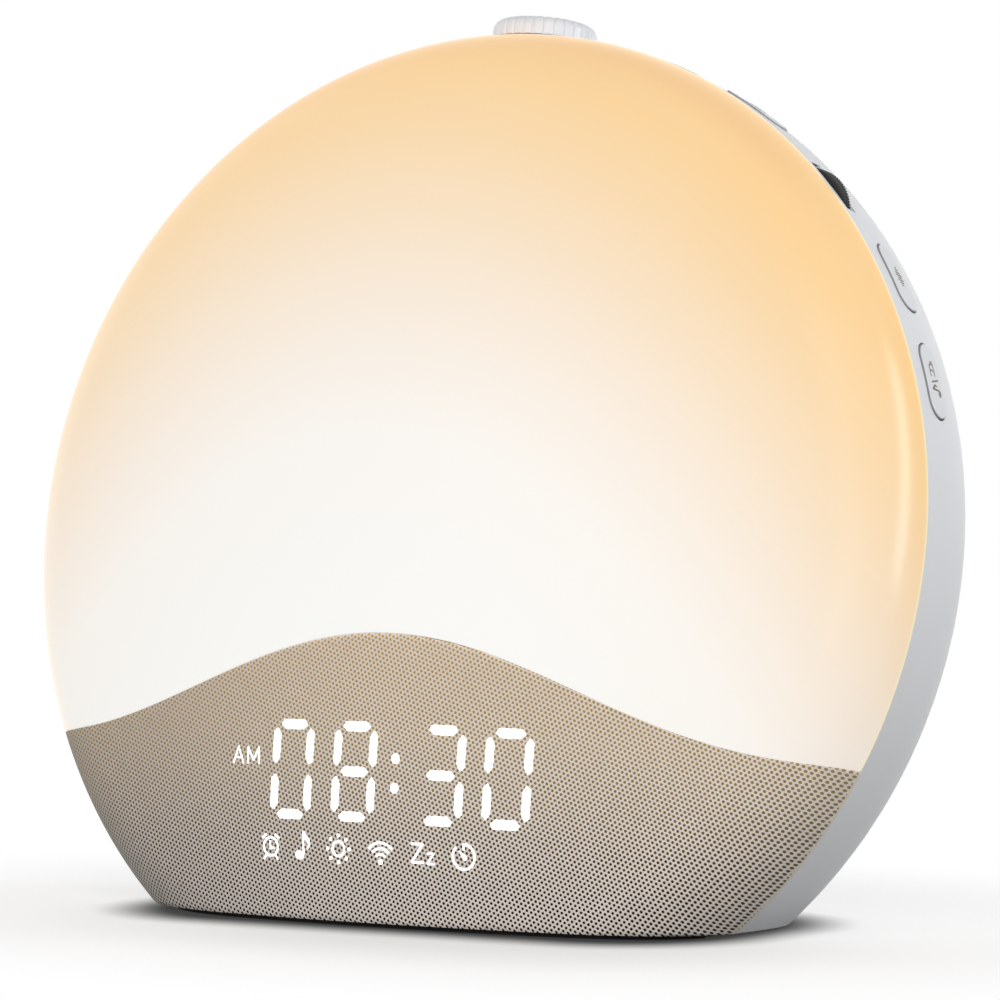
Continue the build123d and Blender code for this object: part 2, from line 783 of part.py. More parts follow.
with BuildPart() as board_capacitors:
    with BuildSketch(seam.offset(-main_board_back)):
        with Locations(*capacitor_spots):
            Circle(capacitor_radius)
    extrude(amount=-capacitor_height)
finish(board_capacitors.part, "board_capacitors")

with BuildPart() as board_connectors:
    with BuildSketch(seam.offset(-main_board_back)):
        with Locations(*connector_spots):
            Rectangle(*connector_size)
    extrude(amount=-connector_height)
finish(board_connectors.part, "board_connectors")

with BuildPart() as coin_cell_holder:
    with BuildSketch(seam.offset(-main_board_back)):
        with Locations(cell_spot):
            Circle(cell_radius + cell_holder_wall)
    extrude(amount=-cell_holder_floor - cell_thickness + hair_gap)
    with BuildSketch(seam.offset(-main_board_back - cell_holder_floor)):
        with Locations(cell_spot):
            Circle(cell_radius + hair_gap)
    extrude(amount=-cell_thickness, mode=Mode.SUBTRACT)
finish(coin_cell_holder.part, "coin_cell_holder")

with BuildPart() as coin_cell:
    with BuildSketch(seam.offset(-main_board_back - cell_holder_floor)):
        with Locations(cell_spot):
            Circle(cell_radius)
    extrude(amount=-cell_thickness)
finish(coin_cell.part, "coin_cell")

# ---- ribbon cable from the display board through the chassis to the main board ----
side_plane = Plane(origin=spot_on_face(-ribbon_width / 2, 0, 0), x_dir=seam.y_dir, z_dir=seam.x_dir)
with BuildPart() as display_ribbon:
    with BuildSketch(side_plane):
        with BuildLine():
            Polyline((ribbon_top, display_level), (ribbon_bend, display_level),
                     (ribbon_bend, ribbon_thickness - main_board_level),
                     (ribbon_end, ribbon_thickness - main_board_level),
                     (ribbon_end, -main_board_level),
                     (ribbon_bend - ribbon_thickness, -main_board_level),
                     (ribbon_bend - ribbon_thickness, display_level - ribbon_thickness),
                     (ribbon_top, display_level - ribbon_thickness), close=True)
        make_face()
    extrude(amount=ribbon_width)
finish(display_ribbon.part, "display_ribbon")

# ---- rim buttons, their switches and the flexible strips that carry them ----
for button_name, angle in button_angles.items():
    spoke = rim_plane(angle, button_depth)
    with BuildPart() as button:
        with BuildSketch(spoke.offset(button_lip_top - button_lip_thickness)):
            SlotOverall(button_length, button_width)
        extrude(amount=face_radius)
        add(button_crown, mode=Mode.INTERSECT)
        crown = button.faces().sort_by_distance(spoke.offset(huge).origin)[0]
        fillet(crown.edges(), button_edge)
        with BuildSketch(spoke.offset(button_lip_top - button_lip_thickness)):
            SlotOverall(button_length + 2 * button_lip, button_width + 2 * button_lip)
        extrude(amount=button_lip_thickness)
        with BuildSketch(spoke.offset(plunger_top)):
            Circle(stem_radius)
        extrude(amount=button_lip_top - button_lip_thickness - plunger_top)
    finish(button.part, f"{button_name}_button")
    with BuildPart() as plunger:
        with BuildSketch(spoke.offset(switch_top - plunger_sunk)):
            Circle(plunger_radius)
        extrude(amount=plunger_sunk + plunger_proud)
    finish(plunger.part, f"{button_name}_plunger")

with BuildPart() as button_switches:
    for angle in button_angles.values():
        spoke = rim_plane(angle, button_depth)
        with BuildSketch(spoke.offset(strip_outer)):
            Rectangle(switch_size, switch_size)
        extrude(amount=switch_height)
        with BuildSketch(spoke.offset(switch_top)):
            Circle(plunger_radius + plunger_gap)
        extrude(amount=-plunger_sunk - 2 * button_travel, mode=Mode.SUBTRACT)
finish(button_switches.part, "button_switches")

for strip_name, strip_angles in (("right_button_strip", right_strip_angles),
                                 ("left_button_strip", left_strip_angles)):
    with BuildPart() as strip:
        with BuildSketch(seam.offset(-strip_rear)):
            rim_sector(*strip_angles, strip_inner, strip_outer)
        extrude(amount=strip_rear - strip_front)
    finish(strip.part, strip_name)

# ---- dimmer: knurled thumbwheel on a small potentiometer ----
with BuildPart() as dimmer_wheel:
    with BuildSketch(seam.offset(-wheel_front)):
        with Locations(wheel_spot):
            Circle(wheel_radius)
            with PolarLocations(wheel_radius, wheel_teeth):
                Circle(wheel_tooth, mode=Mode.SUBTRACT)
            Circle(wheel_shaft_radius, mode=Mode.SUBTRACT)
    extrude(amount=-wheel_thickness)
finish(dimmer_wheel.part, "dimmer_wheel")

with BuildPart() as dimmer_shaft:
    with BuildSketch(seam.offset(-wheel_front)):
        with Locations(wheel_spot):
            Circle(wheel_shaft_radius)
    extrude(amount=-pot_front + wheel_front - pot_height / 2)
finish(dimmer_shaft.part, "dimmer_shaft")

pot_plane = Plane(origin=spot_on_face(*wheel_spot, -pot_front),
                  x_dir=rim_plane(wheel_angle, 0).z_dir, z_dir=-seam.z_dir)
with BuildPart() as dimmer_pot:
    with BuildSketch(pot_plane):
        with Locations((-pot_shift, 0)):
            Rectangle(pot_size[1], pot_size[0])
        Circle(wheel_shaft_radius + wheel_shaft_gap, mode=Mode.SUBTRACT)
    extrude(amount=pot_height)
finish(dimmer_pot.part, "dimmer_pot")

with BuildPart() as dimmer_board:
    with BuildSketch(pot_plane.offset(pot_height)):
        with Locations((-pot_shift, 0)):
            Rectangle(pot_size[1], dimmer_board_length)
    extrude(amount=board_thickness)
finish(dimmer_board.part, "dimmer_board")

# ---- dial: fluted knob on a push encoder ----
dial_axis = Axis(dial_spoke.origin, dial_spoke.z_dir)
dial_section = Plane(origin=dial_spoke.origin, x_dir=seam.x_dir, z_dir=seam.z_dir)
dial_top = dial_base + dial_height

with BuildPart() as dial_form:
    with BuildSketch(dial_section):
        with BuildLine():
            Polyline((0, dial_top - dial_dish), (0, dial_base), (dial_radius, dial_base),
                     (dial_radius, dial_top - dial_shoulder))
            RadiusArc((dial_radius, dial_top - dial_shoulder), (dial_radius - dial_shoulder, dial_top),
                      -dial_shoulder)
            Polyline((dial_radius - dial_shoulder, dial_top), (0, dial_top - dial_dish))
        make_face()
    revolve(axis=dial_axis)

with BuildPart() as dial_knob:
    with BuildSketch(dial_spoke.offset(dial_base)):
        Circle(dial_radius)
        with PolarLocations(dial_radius, dial_flutes):
            Circle(dial_flute_radius, mode=Mode.SUBTRACT)
    extrude(amount=dial_height)
    add(dial_form.part, mode=Mode.INTERSECT)
    with BuildSketch(dial_spoke.offset(dial_base)):
        Circle(dial_shaft_radius)
    extrude(amount=dial_height - dial_wall, mode=Mode.SUBTRACT)
finish(dial_knob.part, "dial_knob")

shaft_low = encoder_base + encoder_floor + dial_travel + plate_thickness + part_gap
with BuildPart() as encoder_shaft:
    with BuildSketch(dial_spoke.offset(shaft_low)):
        Circle(dial_shaft_radius)
    extrude(amount=dial_base + dial_height - dial_wall - shaft_low)
finish(encoder_shaft.part, "encoder_shaft")

with BuildPart() as encoder_plunger:
    with BuildSketch(dial_spoke.offset(shaft_low - plate_thickness)):
        Circle(plate_radius)
    extrude(amount=plate_thickness)
finish(encoder_plunger.part, "encoder_plunger")

with BuildPart() as encoder_body:
    with BuildSketch(dial_spoke.offset(encoder_base)):
        Rectangle(encoder_size, encoder_size)
    extrude(amount=encoder_height)
    with BuildSketch(dial_spoke.offset(encoder_top)):
        Circle(bushing_radius)
    extrude(amount=bushing_height)
    with BuildSketch(dial_spoke.offset(encoder_base + encoder_floor)):
        Circle(dial_shaft_radius + dial_shaft_gap)
    extrude(amount=encoder_height + bushing_height, mode=Mode.SUBTRACT)
finish(encoder_body.part, "encoder_body")

with BuildPart() as encoder_board:
    with BuildSketch(dial_spoke.offset(encoder_base - board_thickness)):
        Rectangle(*encoder_board_size)
    extrude(amount=board_thickness)
finish(encoder_board.part, "encoder_board")

# ---- speaker, facing the rear ----
speaker_plane = Plane(origin=spot_on_face(*speaker_spot, 0), x_dir=(1, 0, 0), z_dir=-seam.y_dir)
speaker_axis = Axis(speaker_plane.origin, seam.z_dir)


def speaker_ring(*points):
    """A closed section turned about the speaker's axis: radius, then depth behind the seam."""
    with BuildSketch(speaker_plane) as half:
        with BuildLine():
            Polyline(*[(radius, -depth) for radius, depth in points], close=True)
        make_face()
    revolve(half.sketch, axis=speaker_axis)


with BuildPart() as speaker_basket:
    speaker_ring(
        (basket_mouth, basket_front + basket_flange), (speaker_flange_radius, basket_front + basket_flange),
        (speaker_flange_radius, basket_front), (basket_mouth + basket_wall, basket_front),
        (basket_mouth + basket_wall, basket_front - basket_straight),
        (basket_neck + basket_wall, basket_back + basket_wall), (basket_neck + basket_wall, basket_back),
        (coil_gap_outer, basket_back), (coil_gap_outer, basket_back + basket_wall),
        (basket_neck, basket_back + basket_wall), (basket_mouth, basket_front - basket_straight))
    with BuildSketch(seam.offset(-basket_front)):
        with Locations(speaker_spot):
            with PolarLocations(speaker_screw_ring, 4, speaker_screw_angle):
                Circle(screw_radius + hair_gap)
    extrude(amount=-basket_flange, mode=Mode.SUBTRACT)
finish(speaker_basket.part, "speaker_basket")

with BuildPart() as speaker_magnet:
    speaker_ring((0, basket_back), (coil_gap_inner, basket_back),
                 (coil_gap_inner, basket_back - magnet_height + basket_wall),
                 (coil_gap_outer, basket_back - magnet_height + basket_wall),
                 (coil_gap_outer, basket_back), (magnet_radius, basket_back),
                 (magnet_radius, basket_back - magnet_height), (0, basket_back - magnet_height))
finish(speaker_magnet.part, "speaker_magnet")

cone_mouth = basket_front + basket_flange / 2
cone_neck = cone_mouth - cone_drop
with BuildPart() as speaker_cone:
    speaker_ring((coil_radius, cone_neck), (cone_radius, cone_mouth), (cone_radius, cone_mouth - cone_wall),
                 (coil_radius + coil_wall, cone_neck - cone_wall),
                 (coil_radius + coil_wall, basket_back - magnet_height / 2),
                 (coil_radius, basket_back - magnet_height / 2))
finish(speaker_cone.part, "speaker_cone")

surround_crest = (cone_radius + surround_width / 2, cone_mouth + surround_width / 2)
surround_edge = cone_radius + surround_width
with BuildPart() as speaker_surround:
    speaker_ring((cone_radius, cone_mouth - cone_wall), (cone_radius, cone_mouth), surround_crest,
                 (surround_edge, cone_mouth), (surround_edge, cone_mouth - cone_wall),
                 (surround_crest[0], surround_crest[1] - cone_wall))
finish(speaker_surround.part, "speaker_surround")

with BuildPart() as speaker_dust_cap:
    speaker_ring((0, cone_neck + cap_rise), (cap_shoulder[0], cone_neck + cap_shoulder[1]),
                 (coil_radius, cone_neck), (0, cone_neck))
finish(speaker_dust_cap.part, "speaker_dust_cap")

with BuildPart() as speaker_gasket:
    speaker_ring((basket_mouth + basket_wall, speaker_seat), (speaker_flange_radius, speaker_seat),
                 (speaker_flange_radius, speaker_seat - gasket_thickness),
                 (basket_mouth + basket_wall, speaker_seat - gasket_thickness))
    with BuildSketch(seam.offset(-speaker_seat)):
        with Locations(speaker_spot):
            with PolarLocations(speaker_screw_ring, 4, speaker_screw_angle):
                Circle(screw_radius + hair_gap)
    extrude(amount=gasket_thickness, mode=Mode.SUBTRACT)
finish(speaker_gasket.part, "speaker_gasket")

# ---- ports: power inlet, charging socket, their tongues and board ----
usb_c_level = port_board_top + usb_c_size[1] / 2
with BuildPart() as usb_c_inlet:
    with BuildSketch(seam.offset(-port_floor)):
        with Locations((usb_c_spot, usb_c_level)):
            SlotOverall(*usb_c_size)
    extrude(amount=usb_c_length)
    with BuildSketch(seam.offset(-port_floor)):
        with Locations((usb_c_spot, usb_c_level)):
            SlotOverall(usb_c_size[0] - 2 * socket_sheet, usb_c_size[1] - 2 * socket_sheet)
    extrude(amount=usb_c_length - socket_sheet, mode=Mode.SUBTRACT)
finish(usb_c_inlet.part, "usb_c_inlet")

with BuildPart() as usb_a_port:
    with BuildSketch(seam.offset(-port_floor)):
        with Locations((usb_a_spot, port_level)):
            Rectangle(*usb_a_size)
    extrude(amount=usb_a_length)
    with BuildSketch(seam.offset(-port_floor)):
        with Locations((usb_a_spot, port_level)):
            Rectangle(usb_a_size[0] - 2 * socket_sheet, usb_a_size[1] - 2 * socket_sheet)
    extrude(amount=usb_a_length - socket_sheet, mode=Mode.SUBTRACT)
finish(usb_a_port.part, "usb_a_port")

with BuildPart() as port_tongues:
    with BuildSketch(seam.offset(-port_floor + usb_c_length - socket_sheet)):
        with Locations((usb_c_spot, usb_c_level)):
            Rectangle(*usb_c_tongue)
    extrude(amount=-usb_c_tongue_length)
    with BuildSketch(seam.offset(-port_floor + usb_a_length - socket_sheet)):
        with Locations((usb_a_spot, port_level + usb_a_tongue_rise)):
            Rectangle(*usb_a_tongue)
    extrude(amount=-usb_a_tongue_length)
finish(port_tongues.part, "port_tongues")

with BuildPart() as port_board:
    with BuildSketch(seam.offset(-port_floor + port_wall)):
        with Locations((0, port_board_top)):
            Rectangle(port_board_size[0], board_thickness, align=(Align.CENTER, Align.MAX))
    extrude(amount=port_board_size[1])
finish(port_board.part, "port_board")


# ---- fasteners ----
def screws(head_plane, spots, radius, length, head_radius, head):
    """Pan-head screws: heads stand on the plane, shanks go the other way."""
    with BuildSketch(head_plane) as heads:
        with Locations(*spots):
            Circle(head_radius)
    extrude(heads.sketch, amount=head)
    with BuildSketch(head_plane) as shanks:
        with Locations(*spots):
            Circle(radius)
    extrude(shanks.sketch, amount=-length)


with BuildPart() as shell_screws:
    with BuildSketch(seam.offset(-shell_screw_seat)):
        with Locations(*rear_screw_spots):
            Circle(shell_screw_head_radius)
    extrude(amount=-shell_screw_head)
    with BuildSketch(seam.offset(-shell_screw_seat)):
        with Locations(*rear_screw_spots):
            Circle(shell_screw_radius)
    extrude(amount=shell_screw_seat - shell_screw_tip)
finish(shell_screws.part, "shell_screws")

speaker_screw_spots = [
    (speaker_screw_ring * cos(radians(speaker_screw_angle + 90 * turn)),
     speaker_level + speaker_screw_ring * sin(radians(speaker_screw_angle + 90 * turn)))
    for turn in range(4)]
with BuildPart() as speaker_screws:
    screws(seam.offset(-basket_front), speaker_screw_spots, screw_radius,
           basket_flange + gasket_thickness + speaker_screw_bite, screw_head_radius, screw_head)
finish(speaker_screws.part, "speaker_screws")

with BuildPart() as display_board_screws:
    screws(seam.offset(display_front), display_screws, screw_radius, screw_length,
           screw_head_radius, screw_head)
finish(display_board_screws.part, "display_board_screws")

with BuildPart() as main_board_screws:
    with BuildSketch(seam.offset(-main_board_back)):
        with Locations(*main_screw_spots):
            Circle(screw_head_radius)
    extrude(amount=-screw_head)
    with BuildSketch(seam.offset(-main_board_back)):
        with Locations(*main_screw_spots):
            Circle(screw_radius)
    extrude(amount=screw_length)
finish(main_board_screws.part, "main_board_screws")

# ---- rubber that the clock stands on ----
finish(rubber_strip(shell_outline, base_pad_inset, -pad_seam_gap), "base_pad")
finish(rubber_strip(dome_outline, front_pad_inset, pad_seam_gap), "front_pad")
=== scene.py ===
import json
import bmesh
import bpy
import numpy as np
from mathutils import Matrix, Vector


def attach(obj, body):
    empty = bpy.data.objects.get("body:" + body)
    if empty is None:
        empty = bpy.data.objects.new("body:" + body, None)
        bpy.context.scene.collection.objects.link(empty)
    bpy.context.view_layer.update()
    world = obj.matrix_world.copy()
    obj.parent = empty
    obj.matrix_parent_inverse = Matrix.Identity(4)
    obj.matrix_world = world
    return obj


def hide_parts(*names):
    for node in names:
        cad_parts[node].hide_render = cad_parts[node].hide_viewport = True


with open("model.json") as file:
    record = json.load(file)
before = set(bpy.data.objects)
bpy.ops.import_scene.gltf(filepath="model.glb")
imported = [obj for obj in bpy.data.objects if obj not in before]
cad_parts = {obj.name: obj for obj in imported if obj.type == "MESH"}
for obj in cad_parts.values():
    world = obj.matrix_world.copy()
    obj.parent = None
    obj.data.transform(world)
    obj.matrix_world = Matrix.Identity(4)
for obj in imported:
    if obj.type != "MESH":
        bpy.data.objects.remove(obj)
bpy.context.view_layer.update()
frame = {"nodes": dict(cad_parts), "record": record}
nodes = frame["nodes"]
print("frame loaded:", len(nodes), "nodes")

# The clock's face is a disc that leans back. Sizes are in millimetres on the disc: across, up the
# face, and forward of the seam. place() turns them into metres in the frame.
disc = {
    "radius": 92.5,
    "lean": 10.0,
    "middle": 69.0,      # height of the disc's centre
    "sphere": 295.0,     # broad curve of the front
    "edge": 17.0,        # rounded edge of the front
    "base": 1.0,         # height of the flat cut under the disc
    "waveMiddle": -30.5,
    "waveHeight": 9.3,
    "waveHalf": 80.0,
}
lean = np.radians(disc["lean"])
acrossAxis = np.array([1.0, 0.0, 0.0])
riseAxis = np.array([0.0, np.sin(lean), np.cos(lean)])
frontAxis = np.array([0.0, -np.cos(lean), np.sin(lean)])
discCentre = np.array([0.0, 0.0, disc["middle"]])


def place(across, rise, forward):
    # the disc's centre plus each distance along its own axis, in metres
    across, rise, forward = np.broadcast_arrays(across, rise, forward)
    spots = discCentre + across[..., None] * acrossAxis + rise[..., None] * riseAxis
    return (spots + forward[..., None] * frontAxis) / 1000


def frontHeight(radius, inset=0.0):
    # the front's height at a radius: a sphere's cap, then a quarter ring at the edge
    sphere, edge, rim = disc["sphere"] - inset, disc["edge"] - inset, disc["radius"] - inset
    corner = disc["radius"] - disc["edge"]
    centre = -np.sqrt((disc["sphere"] - disc["edge"]) ** 2 - corner ** 2)
    turn = corner * sphere / (disc["sphere"] - disc["edge"])
    cap = centre + np.sqrt(np.maximum(sphere ** 2 - radius ** 2, 0))
    ring = np.sqrt(np.maximum(edge ** 2 - (np.clip(radius, corner, rim) - corner) ** 2, 0))
    return np.where(radius < turn, cap, ring)


def waveLine(across):
    # the border between light and cloth: a cosine that runs level past its ends
    across = np.clip(across, -disc["waveHalf"], disc["waveHalf"])
    return disc["waveMiddle"] + disc["waveHeight"] * np.cos(np.pi * across / disc["waveHalf"])


# meshes from whole arrays

def gridFaces(rows, columns, wrapRows=False, wrapColumns=False):
    # quads between neighbouring points of a grid, joined round where it wraps
    r = np.arange(rows if wrapRows else rows - 1)[:, None]
    c = np.arange(columns if wrapColumns else columns - 1)[None, :]
    r2, c2 = (r + 1) % rows, (c + 1) % columns
    quads = np.stack([r * columns + c, r * columns + c2, r2 * columns + c2, r2 * columns + c], -1)
    return quads.reshape(-1, 4)


def makePiece(name, points, faces, sharp, merge=1e-6, uv=None):
    # a mesh with its doubles merged, shaded smooth up to the sharp angle
    mesh = bpy.data.meshes.new(name)
    mesh.from_pydata(np.asarray(points).reshape(-1, 3), [], [tuple(face) for face in faces])
    if uv is not None:
        layer = mesh.uv_layers.new(name="threadMap")
        corners = np.zeros(len(mesh.loops), dtype=np.int32)
        mesh.loops.foreach_get("vertex_index", corners)
        layer.data.foreach_set("uv", np.asarray(uv).reshape(-1, 2)[corners].ravel())
    tidyMesh(mesh, merge)
    mesh.polygons.foreach_set("use_smooth", np.ones(len(mesh.polygons), dtype=bool))
    mesh.set_sharp_from_angle(angle=np.radians(sharp))
    piece = bpy.data.objects.new(name, mesh)
    bpy.context.scene.collection.objects.link(piece)
    return piece


def tidyMesh(mesh, merge):
    # doubles merged, slivers dissolved and faces turned outwards
    work = bmesh.new()
    work.from_mesh(mesh)
    bmesh.ops.remove_doubles(work, verts=work.verts, dist=merge)
    bmesh.ops.dissolve_degenerate(work, dist=merge, edges=work.edges)
    bmesh.ops.recalc_face_normals(work, faces=work.faces)
    work.to_mesh(mesh)
    work.free()


def joinParts(parts):
    # several point and face arrays put one after another
    points, faces, start = [], [], 0
    for spots, quads in parts:
        spots = np.asarray(spots).reshape(-1, 3)
        points.append(spots)
        faces.extend((np.asarray(quads) + start).tolist())
        start += len(spots)
    return np.concatenate(points), faces


def revolved(radii, heights, turns, centre, axis, side):
    # a profile turned about an axis; its radii and heights may vary with the turn
    other = np.cross(axis, side)
    ring = np.cos(turns)[:, None] * side + np.sin(turns)[:, None] * other
    radii, heights = np.broadcast_arrays(np.atleast_2d(radii), np.atleast_2d(heights))
    return (centre + radii[..., None] * ring[:, None, :] + heights[..., None] * axis) / 1000


# camera and lamps

view = {
    "spot": (0.589995, -0.927997, 0.107924),
    "right": (0.84603636, 0.5331252, 0.0),
    "up": (-0.01572319, 0.02495171, 0.999565),
    "lens": 218.345,
    "sensor": 36.0,
    "clipStart": 0.05,
}
lensData = bpy.data.cameras.new("viewCamera")
lensData.lens = view["lens"]
lensData.sensor_width = view["sensor"]
lensData.clip_start = view["clipStart"]
camera = bpy.data.objects.new("viewCamera", lensData)
right, up = Vector(view["right"]), Vector(view["up"])
back = right.cross(up).normalized()
camera.matrix_world = Matrix((
    (right.x, up.x, back.x, view["spot"][0]),
    (right.y, up.y, back.y, view["spot"][1]),
    (right.z, up.z, back.z, view["spot"][2]),
    (0, 0, 0, 1)))
bpy.context.scene.collection.objects.link(camera)
bpy.context.scene.camera = camera

studio = {
    "worldLight": 0.17,
    "worldTint": (0.93, 0.965, 1.0),
    "aim": (0, 0, 0.09),            # where every lamp points
    "floorSeen": 0.44,              # the floor's own tone, where it is seen
    "floorBounce": 0.10,            # what it gives back to the clock
    "floorGlow": 0.61,              # seen tone that the floor adds near the clock
    "glowTint": (1.0, 0.992, 0.98),
    "contactShadow": (0.08, -0.0015, 0.0145),     # painted shadow under the edge, and from where to where it lifts
    "foot": (0.0376, 0.0075, 0.021),        # half width, half depth and corner of the footprint
    "footShift": (0.0, 0.0015, 0.0),
    "shadowPool": (0.83, 0.090, 0.055),   # soft painted shadow in front: its depth of tone and its reach
    "poolShift": (-0.022, 0.032, 0.0),
    "poolEdge": (0.2, 1.1),         # shares of the reach between which it lifts
    "whiteShift": (-0.012, 0.0, 0.0),
    "whiteShape": (0.9, 1.25, 1.0),
    "whiteFrom": (0.08, 0.17),      # metres between which the floor fades to white
    "floorHalf": 6.0,
}
# what a lamp has where its own row says nothing; upright is the way its second side runs
plainLamp = {"tint": (1.0, 1.0, 1.0), "mirrored": False, "upright": (0, 0, 1)}
lamps = {
    "frontLamp": {"spot": (-0.35, -1.40, 0.45), "size": (0.9, 0.9), "power": 8.6,
                  "tint": (1.0, 0.99, 0.97)},
    "keyLamp": {"spot": (0.62, -1.10, 0.80), "size": (0.8, 0.8), "power": 5.9,
                "tint": (1.0, 0.99, 0.97)},
    "lowLamp": {"spot": (1.00, -1.02, 0.22), "size": (0.6, 0.4), "power": 5.6,
                "tint": (1.0, 0.99, 0.98)},
    "stripLamp": {"spot": (1.10, 0.433, 0.375), "size": (0.27, 0.84), "power": 5.6,
                  "tint": (0.95, 0.975, 1.0), "mirrored": True, "upright": (-0.16, 0.406, 0.71)},
    "rearLamp": {"spot": (-0.10, 1.50, 0.28), "size": (1.1, 0.5), "power": 13.5},
    "sideLamp": {"spot": (-1.45, 0.30, 0.35), "size": (0.7, 0.5), "power": 7.0},
}


def aimLamp(name, lamp):
    data = bpy.data.lights.new(name, "AREA")
    data.shape = "RECTANGLE"
    data.size, data.size_y = lamp["size"]
    data.energy = lamp["power"]
    data.color = lamp["tint"]
    item = bpy.data.objects.new(name, data)
    item.visible_glossy = lamp["mirrored"]
    upright = Vector(lamp["upright"])
    back = (Vector(lamp["spot"]) - Vector(studio["aim"])).normalized()
    up = (upright - back * back.dot(upright)).normalized()
    turn = Matrix((up.cross(back), up, back)).transposed()
    item.matrix_world = Matrix.Translation(lamp["spot"]) @ turn.to_4x4()
    bpy.context.scene.collection.objects.link(item)


for name, lamp in lamps.items():
    aimLamp(name, {**plainLamp, **lamp})
bpy.context.scene.view_settings.view_transform = "Standard"
print("camera and lamps placed")


# material tools

def newMaterial(name):
    material = bpy.data.materials.new(name)
    material.use_nodes = True
    tree = material.node_tree
    return material, tree, tree.nodes["Principled BSDF"]


def wire(tree, source, target):
    # a number, a colour or another node's socket into one socket
    if isinstance(source, (int, float)):
        target.default_value = source
    elif isinstance(source, (tuple, list)):
        target.default_value = source if len(source) == len(target.default_value) else (*source, 1)
    else:
        tree.links.new(source, target)


def feed(tree, made, sources):
    # the same into several sockets of a node, each by its label or its number
    for socket, source in sources.items():
        wire(tree, source, made.inputs[socket])
    return made


def node(tree, kind, sources=None, **settings):
    made = tree.nodes.new("ShaderNode" + kind)
    for key, value in settings.items():
        setattr(made, key, value)
    return feed(tree, made, sources or {})


def math(tree, operation, *values):
    return node(tree, "Math", dict(enumerate(values)), operation=operation).outputs[0]


def vectorMath(tree, operation, *values):
    made = node(tree, "VectorMath", dict(enumerate(values)), operation=operation)
    return made.outputs["Value" if operation in ("LENGTH", "DOT_PRODUCT") else "Vector"]


def blendColor(tree, amount, first, second, way="MIX"):
    sources = {0: amount, 6: first, 7: second}
    return node(tree, "Mix", sources, data_type="RGBA", blend_type=way).outputs[2]


def fade(tree, value, low, high, toLow=0.0, toHigh=1.0, smooth=True):
    # one range carried over to another, held at its ends
    sources = {"Value": value, "From Min": low, "From Max": high, "To Min": toLow, "To Max": toHigh}
    way = "SMOOTHSTEP" if smooth else "LINEAR"
    return node(tree, "MapRange", sources, interpolation_type=way).outputs[0]


def ramp(tree, value, stops):
    made = node(tree, "ValToRGB", {0: value})
    elements = made.color_ramp.elements
    while len(elements) < len(stops):
        elements.new(0.5)
    for element, (spot, color) in zip(elements, stops):
        element.position = spot
        element.color = (*color, 1)
    return made.outputs[0]


def noise(tree, vector, scale, detail=3.0, rough=0.5):
    sources = {"Vector": vector, "Scale": scale, "Detail": detail, "Roughness": rough}
    return node(tree, "TexNoise", sources).outputs[0]


def objectSpot(tree):
    return node(tree, "TexCoord").outputs["Object"]


def seenShare(tree):
    # 1 for what the camera, a mirroring surface or glass sees, 0 for plain light
    path = node(tree, "LightPath").outputs
    seen = math(tree, "MAXIMUM", path["Is Camera Ray"], path["Is Glossy Ray"])
    return math(tree, "MAXIMUM", seen, path["Is Transmission Ray"])


def mixShaders(tree, share, first, second, target):
    made = node(tree, "MixShader", {0: share, 1: first.outputs[0], 2: second.outputs[0]})
    wire(tree, made.outputs[0], target)


def newGroup(name, **inputs):
    # a group with the named inputs, each with the kind of its socket, and the same three outputs
    group = bpy.data.node_groups.new(name, "ShaderNodeTree")
    outputs = {"Color": "Color", "Roughness": "Float", "Height": "Float"}
    for way, sockets in (("INPUT", inputs), ("OUTPUT", outputs)):
        for label, kind in sockets.items():
            group.interface.new_socket(label, in_out=way, socket_type="NodeSocket" + kind)
    return group, group.nodes.new("NodeGroupInput"), group.nodes.new("NodeGroupOutput")


def putOut(group, out, color, rough, height):
    feed(group, out, {"Color": color, "Roughness": rough, "Height": height})


def useGroup(tree, group, **sources):
    return node(tree, "Group", sources, node_tree=group)


def discSpot(tree):
    # the disc's own coordinates in millimetres, from the object's
    spot = vectorMath(tree, "SUBTRACT", objectSpot(tree), tuple(discCentre / 1000))
    spot = node(tree, "VectorMath", {0: spot, "Scale": 1000.0}, operation="SCALE").outputs[0]
    return [vectorMath(tree, "DOT_PRODUCT", spot, tuple(axis))
            for axis in (acrossAxis, riseAxis, frontAxis)]


def bumpInto(tree, shader, height, distance, strength):
    made = node(tree, "Bump", {"Strength": strength, "Distance": distance, "Height": height})
    wire(tree, made.outputs[0], shader.inputs["Normal"])


# the world is white where it is seen and gives plain light otherwise
world = bpy.data.worlds.new("studioAir")
bpy.context.scene.world = world
world.use_nodes = True
air = world.node_tree
air.nodes.clear()
airLight = node(air, "Background", {"Color": studio["worldTint"], "Strength": studio["worldLight"]})
airSeen = node(air, "Background", {"Color": (1, 1, 1)})
mixShaders(air, seenShare(air), airLight, airSeen, node(air, "OutputWorld").inputs["Surface"])

grainLook = {"wideScale": 28.0, "wideDetail": 4.0, "fineDetail": 2.0, "rough": 0.6}
brushLook = {"detail": 4.0, "rough": 0.6, "dark": (0.25, 0.25, 0.26), "from": (0.3, 0.7),
             "share": 0.22, "dull": 0.2}
trackLook = {"scale": 260.0, "gap": 0.045, "width": 1.3, "height": 0.42, "tilt": 80.0,
             "padScale": 330.0, "padEdge": (0.16, 0.2), "maskRough": 0.42, "trackRough": 0.32}

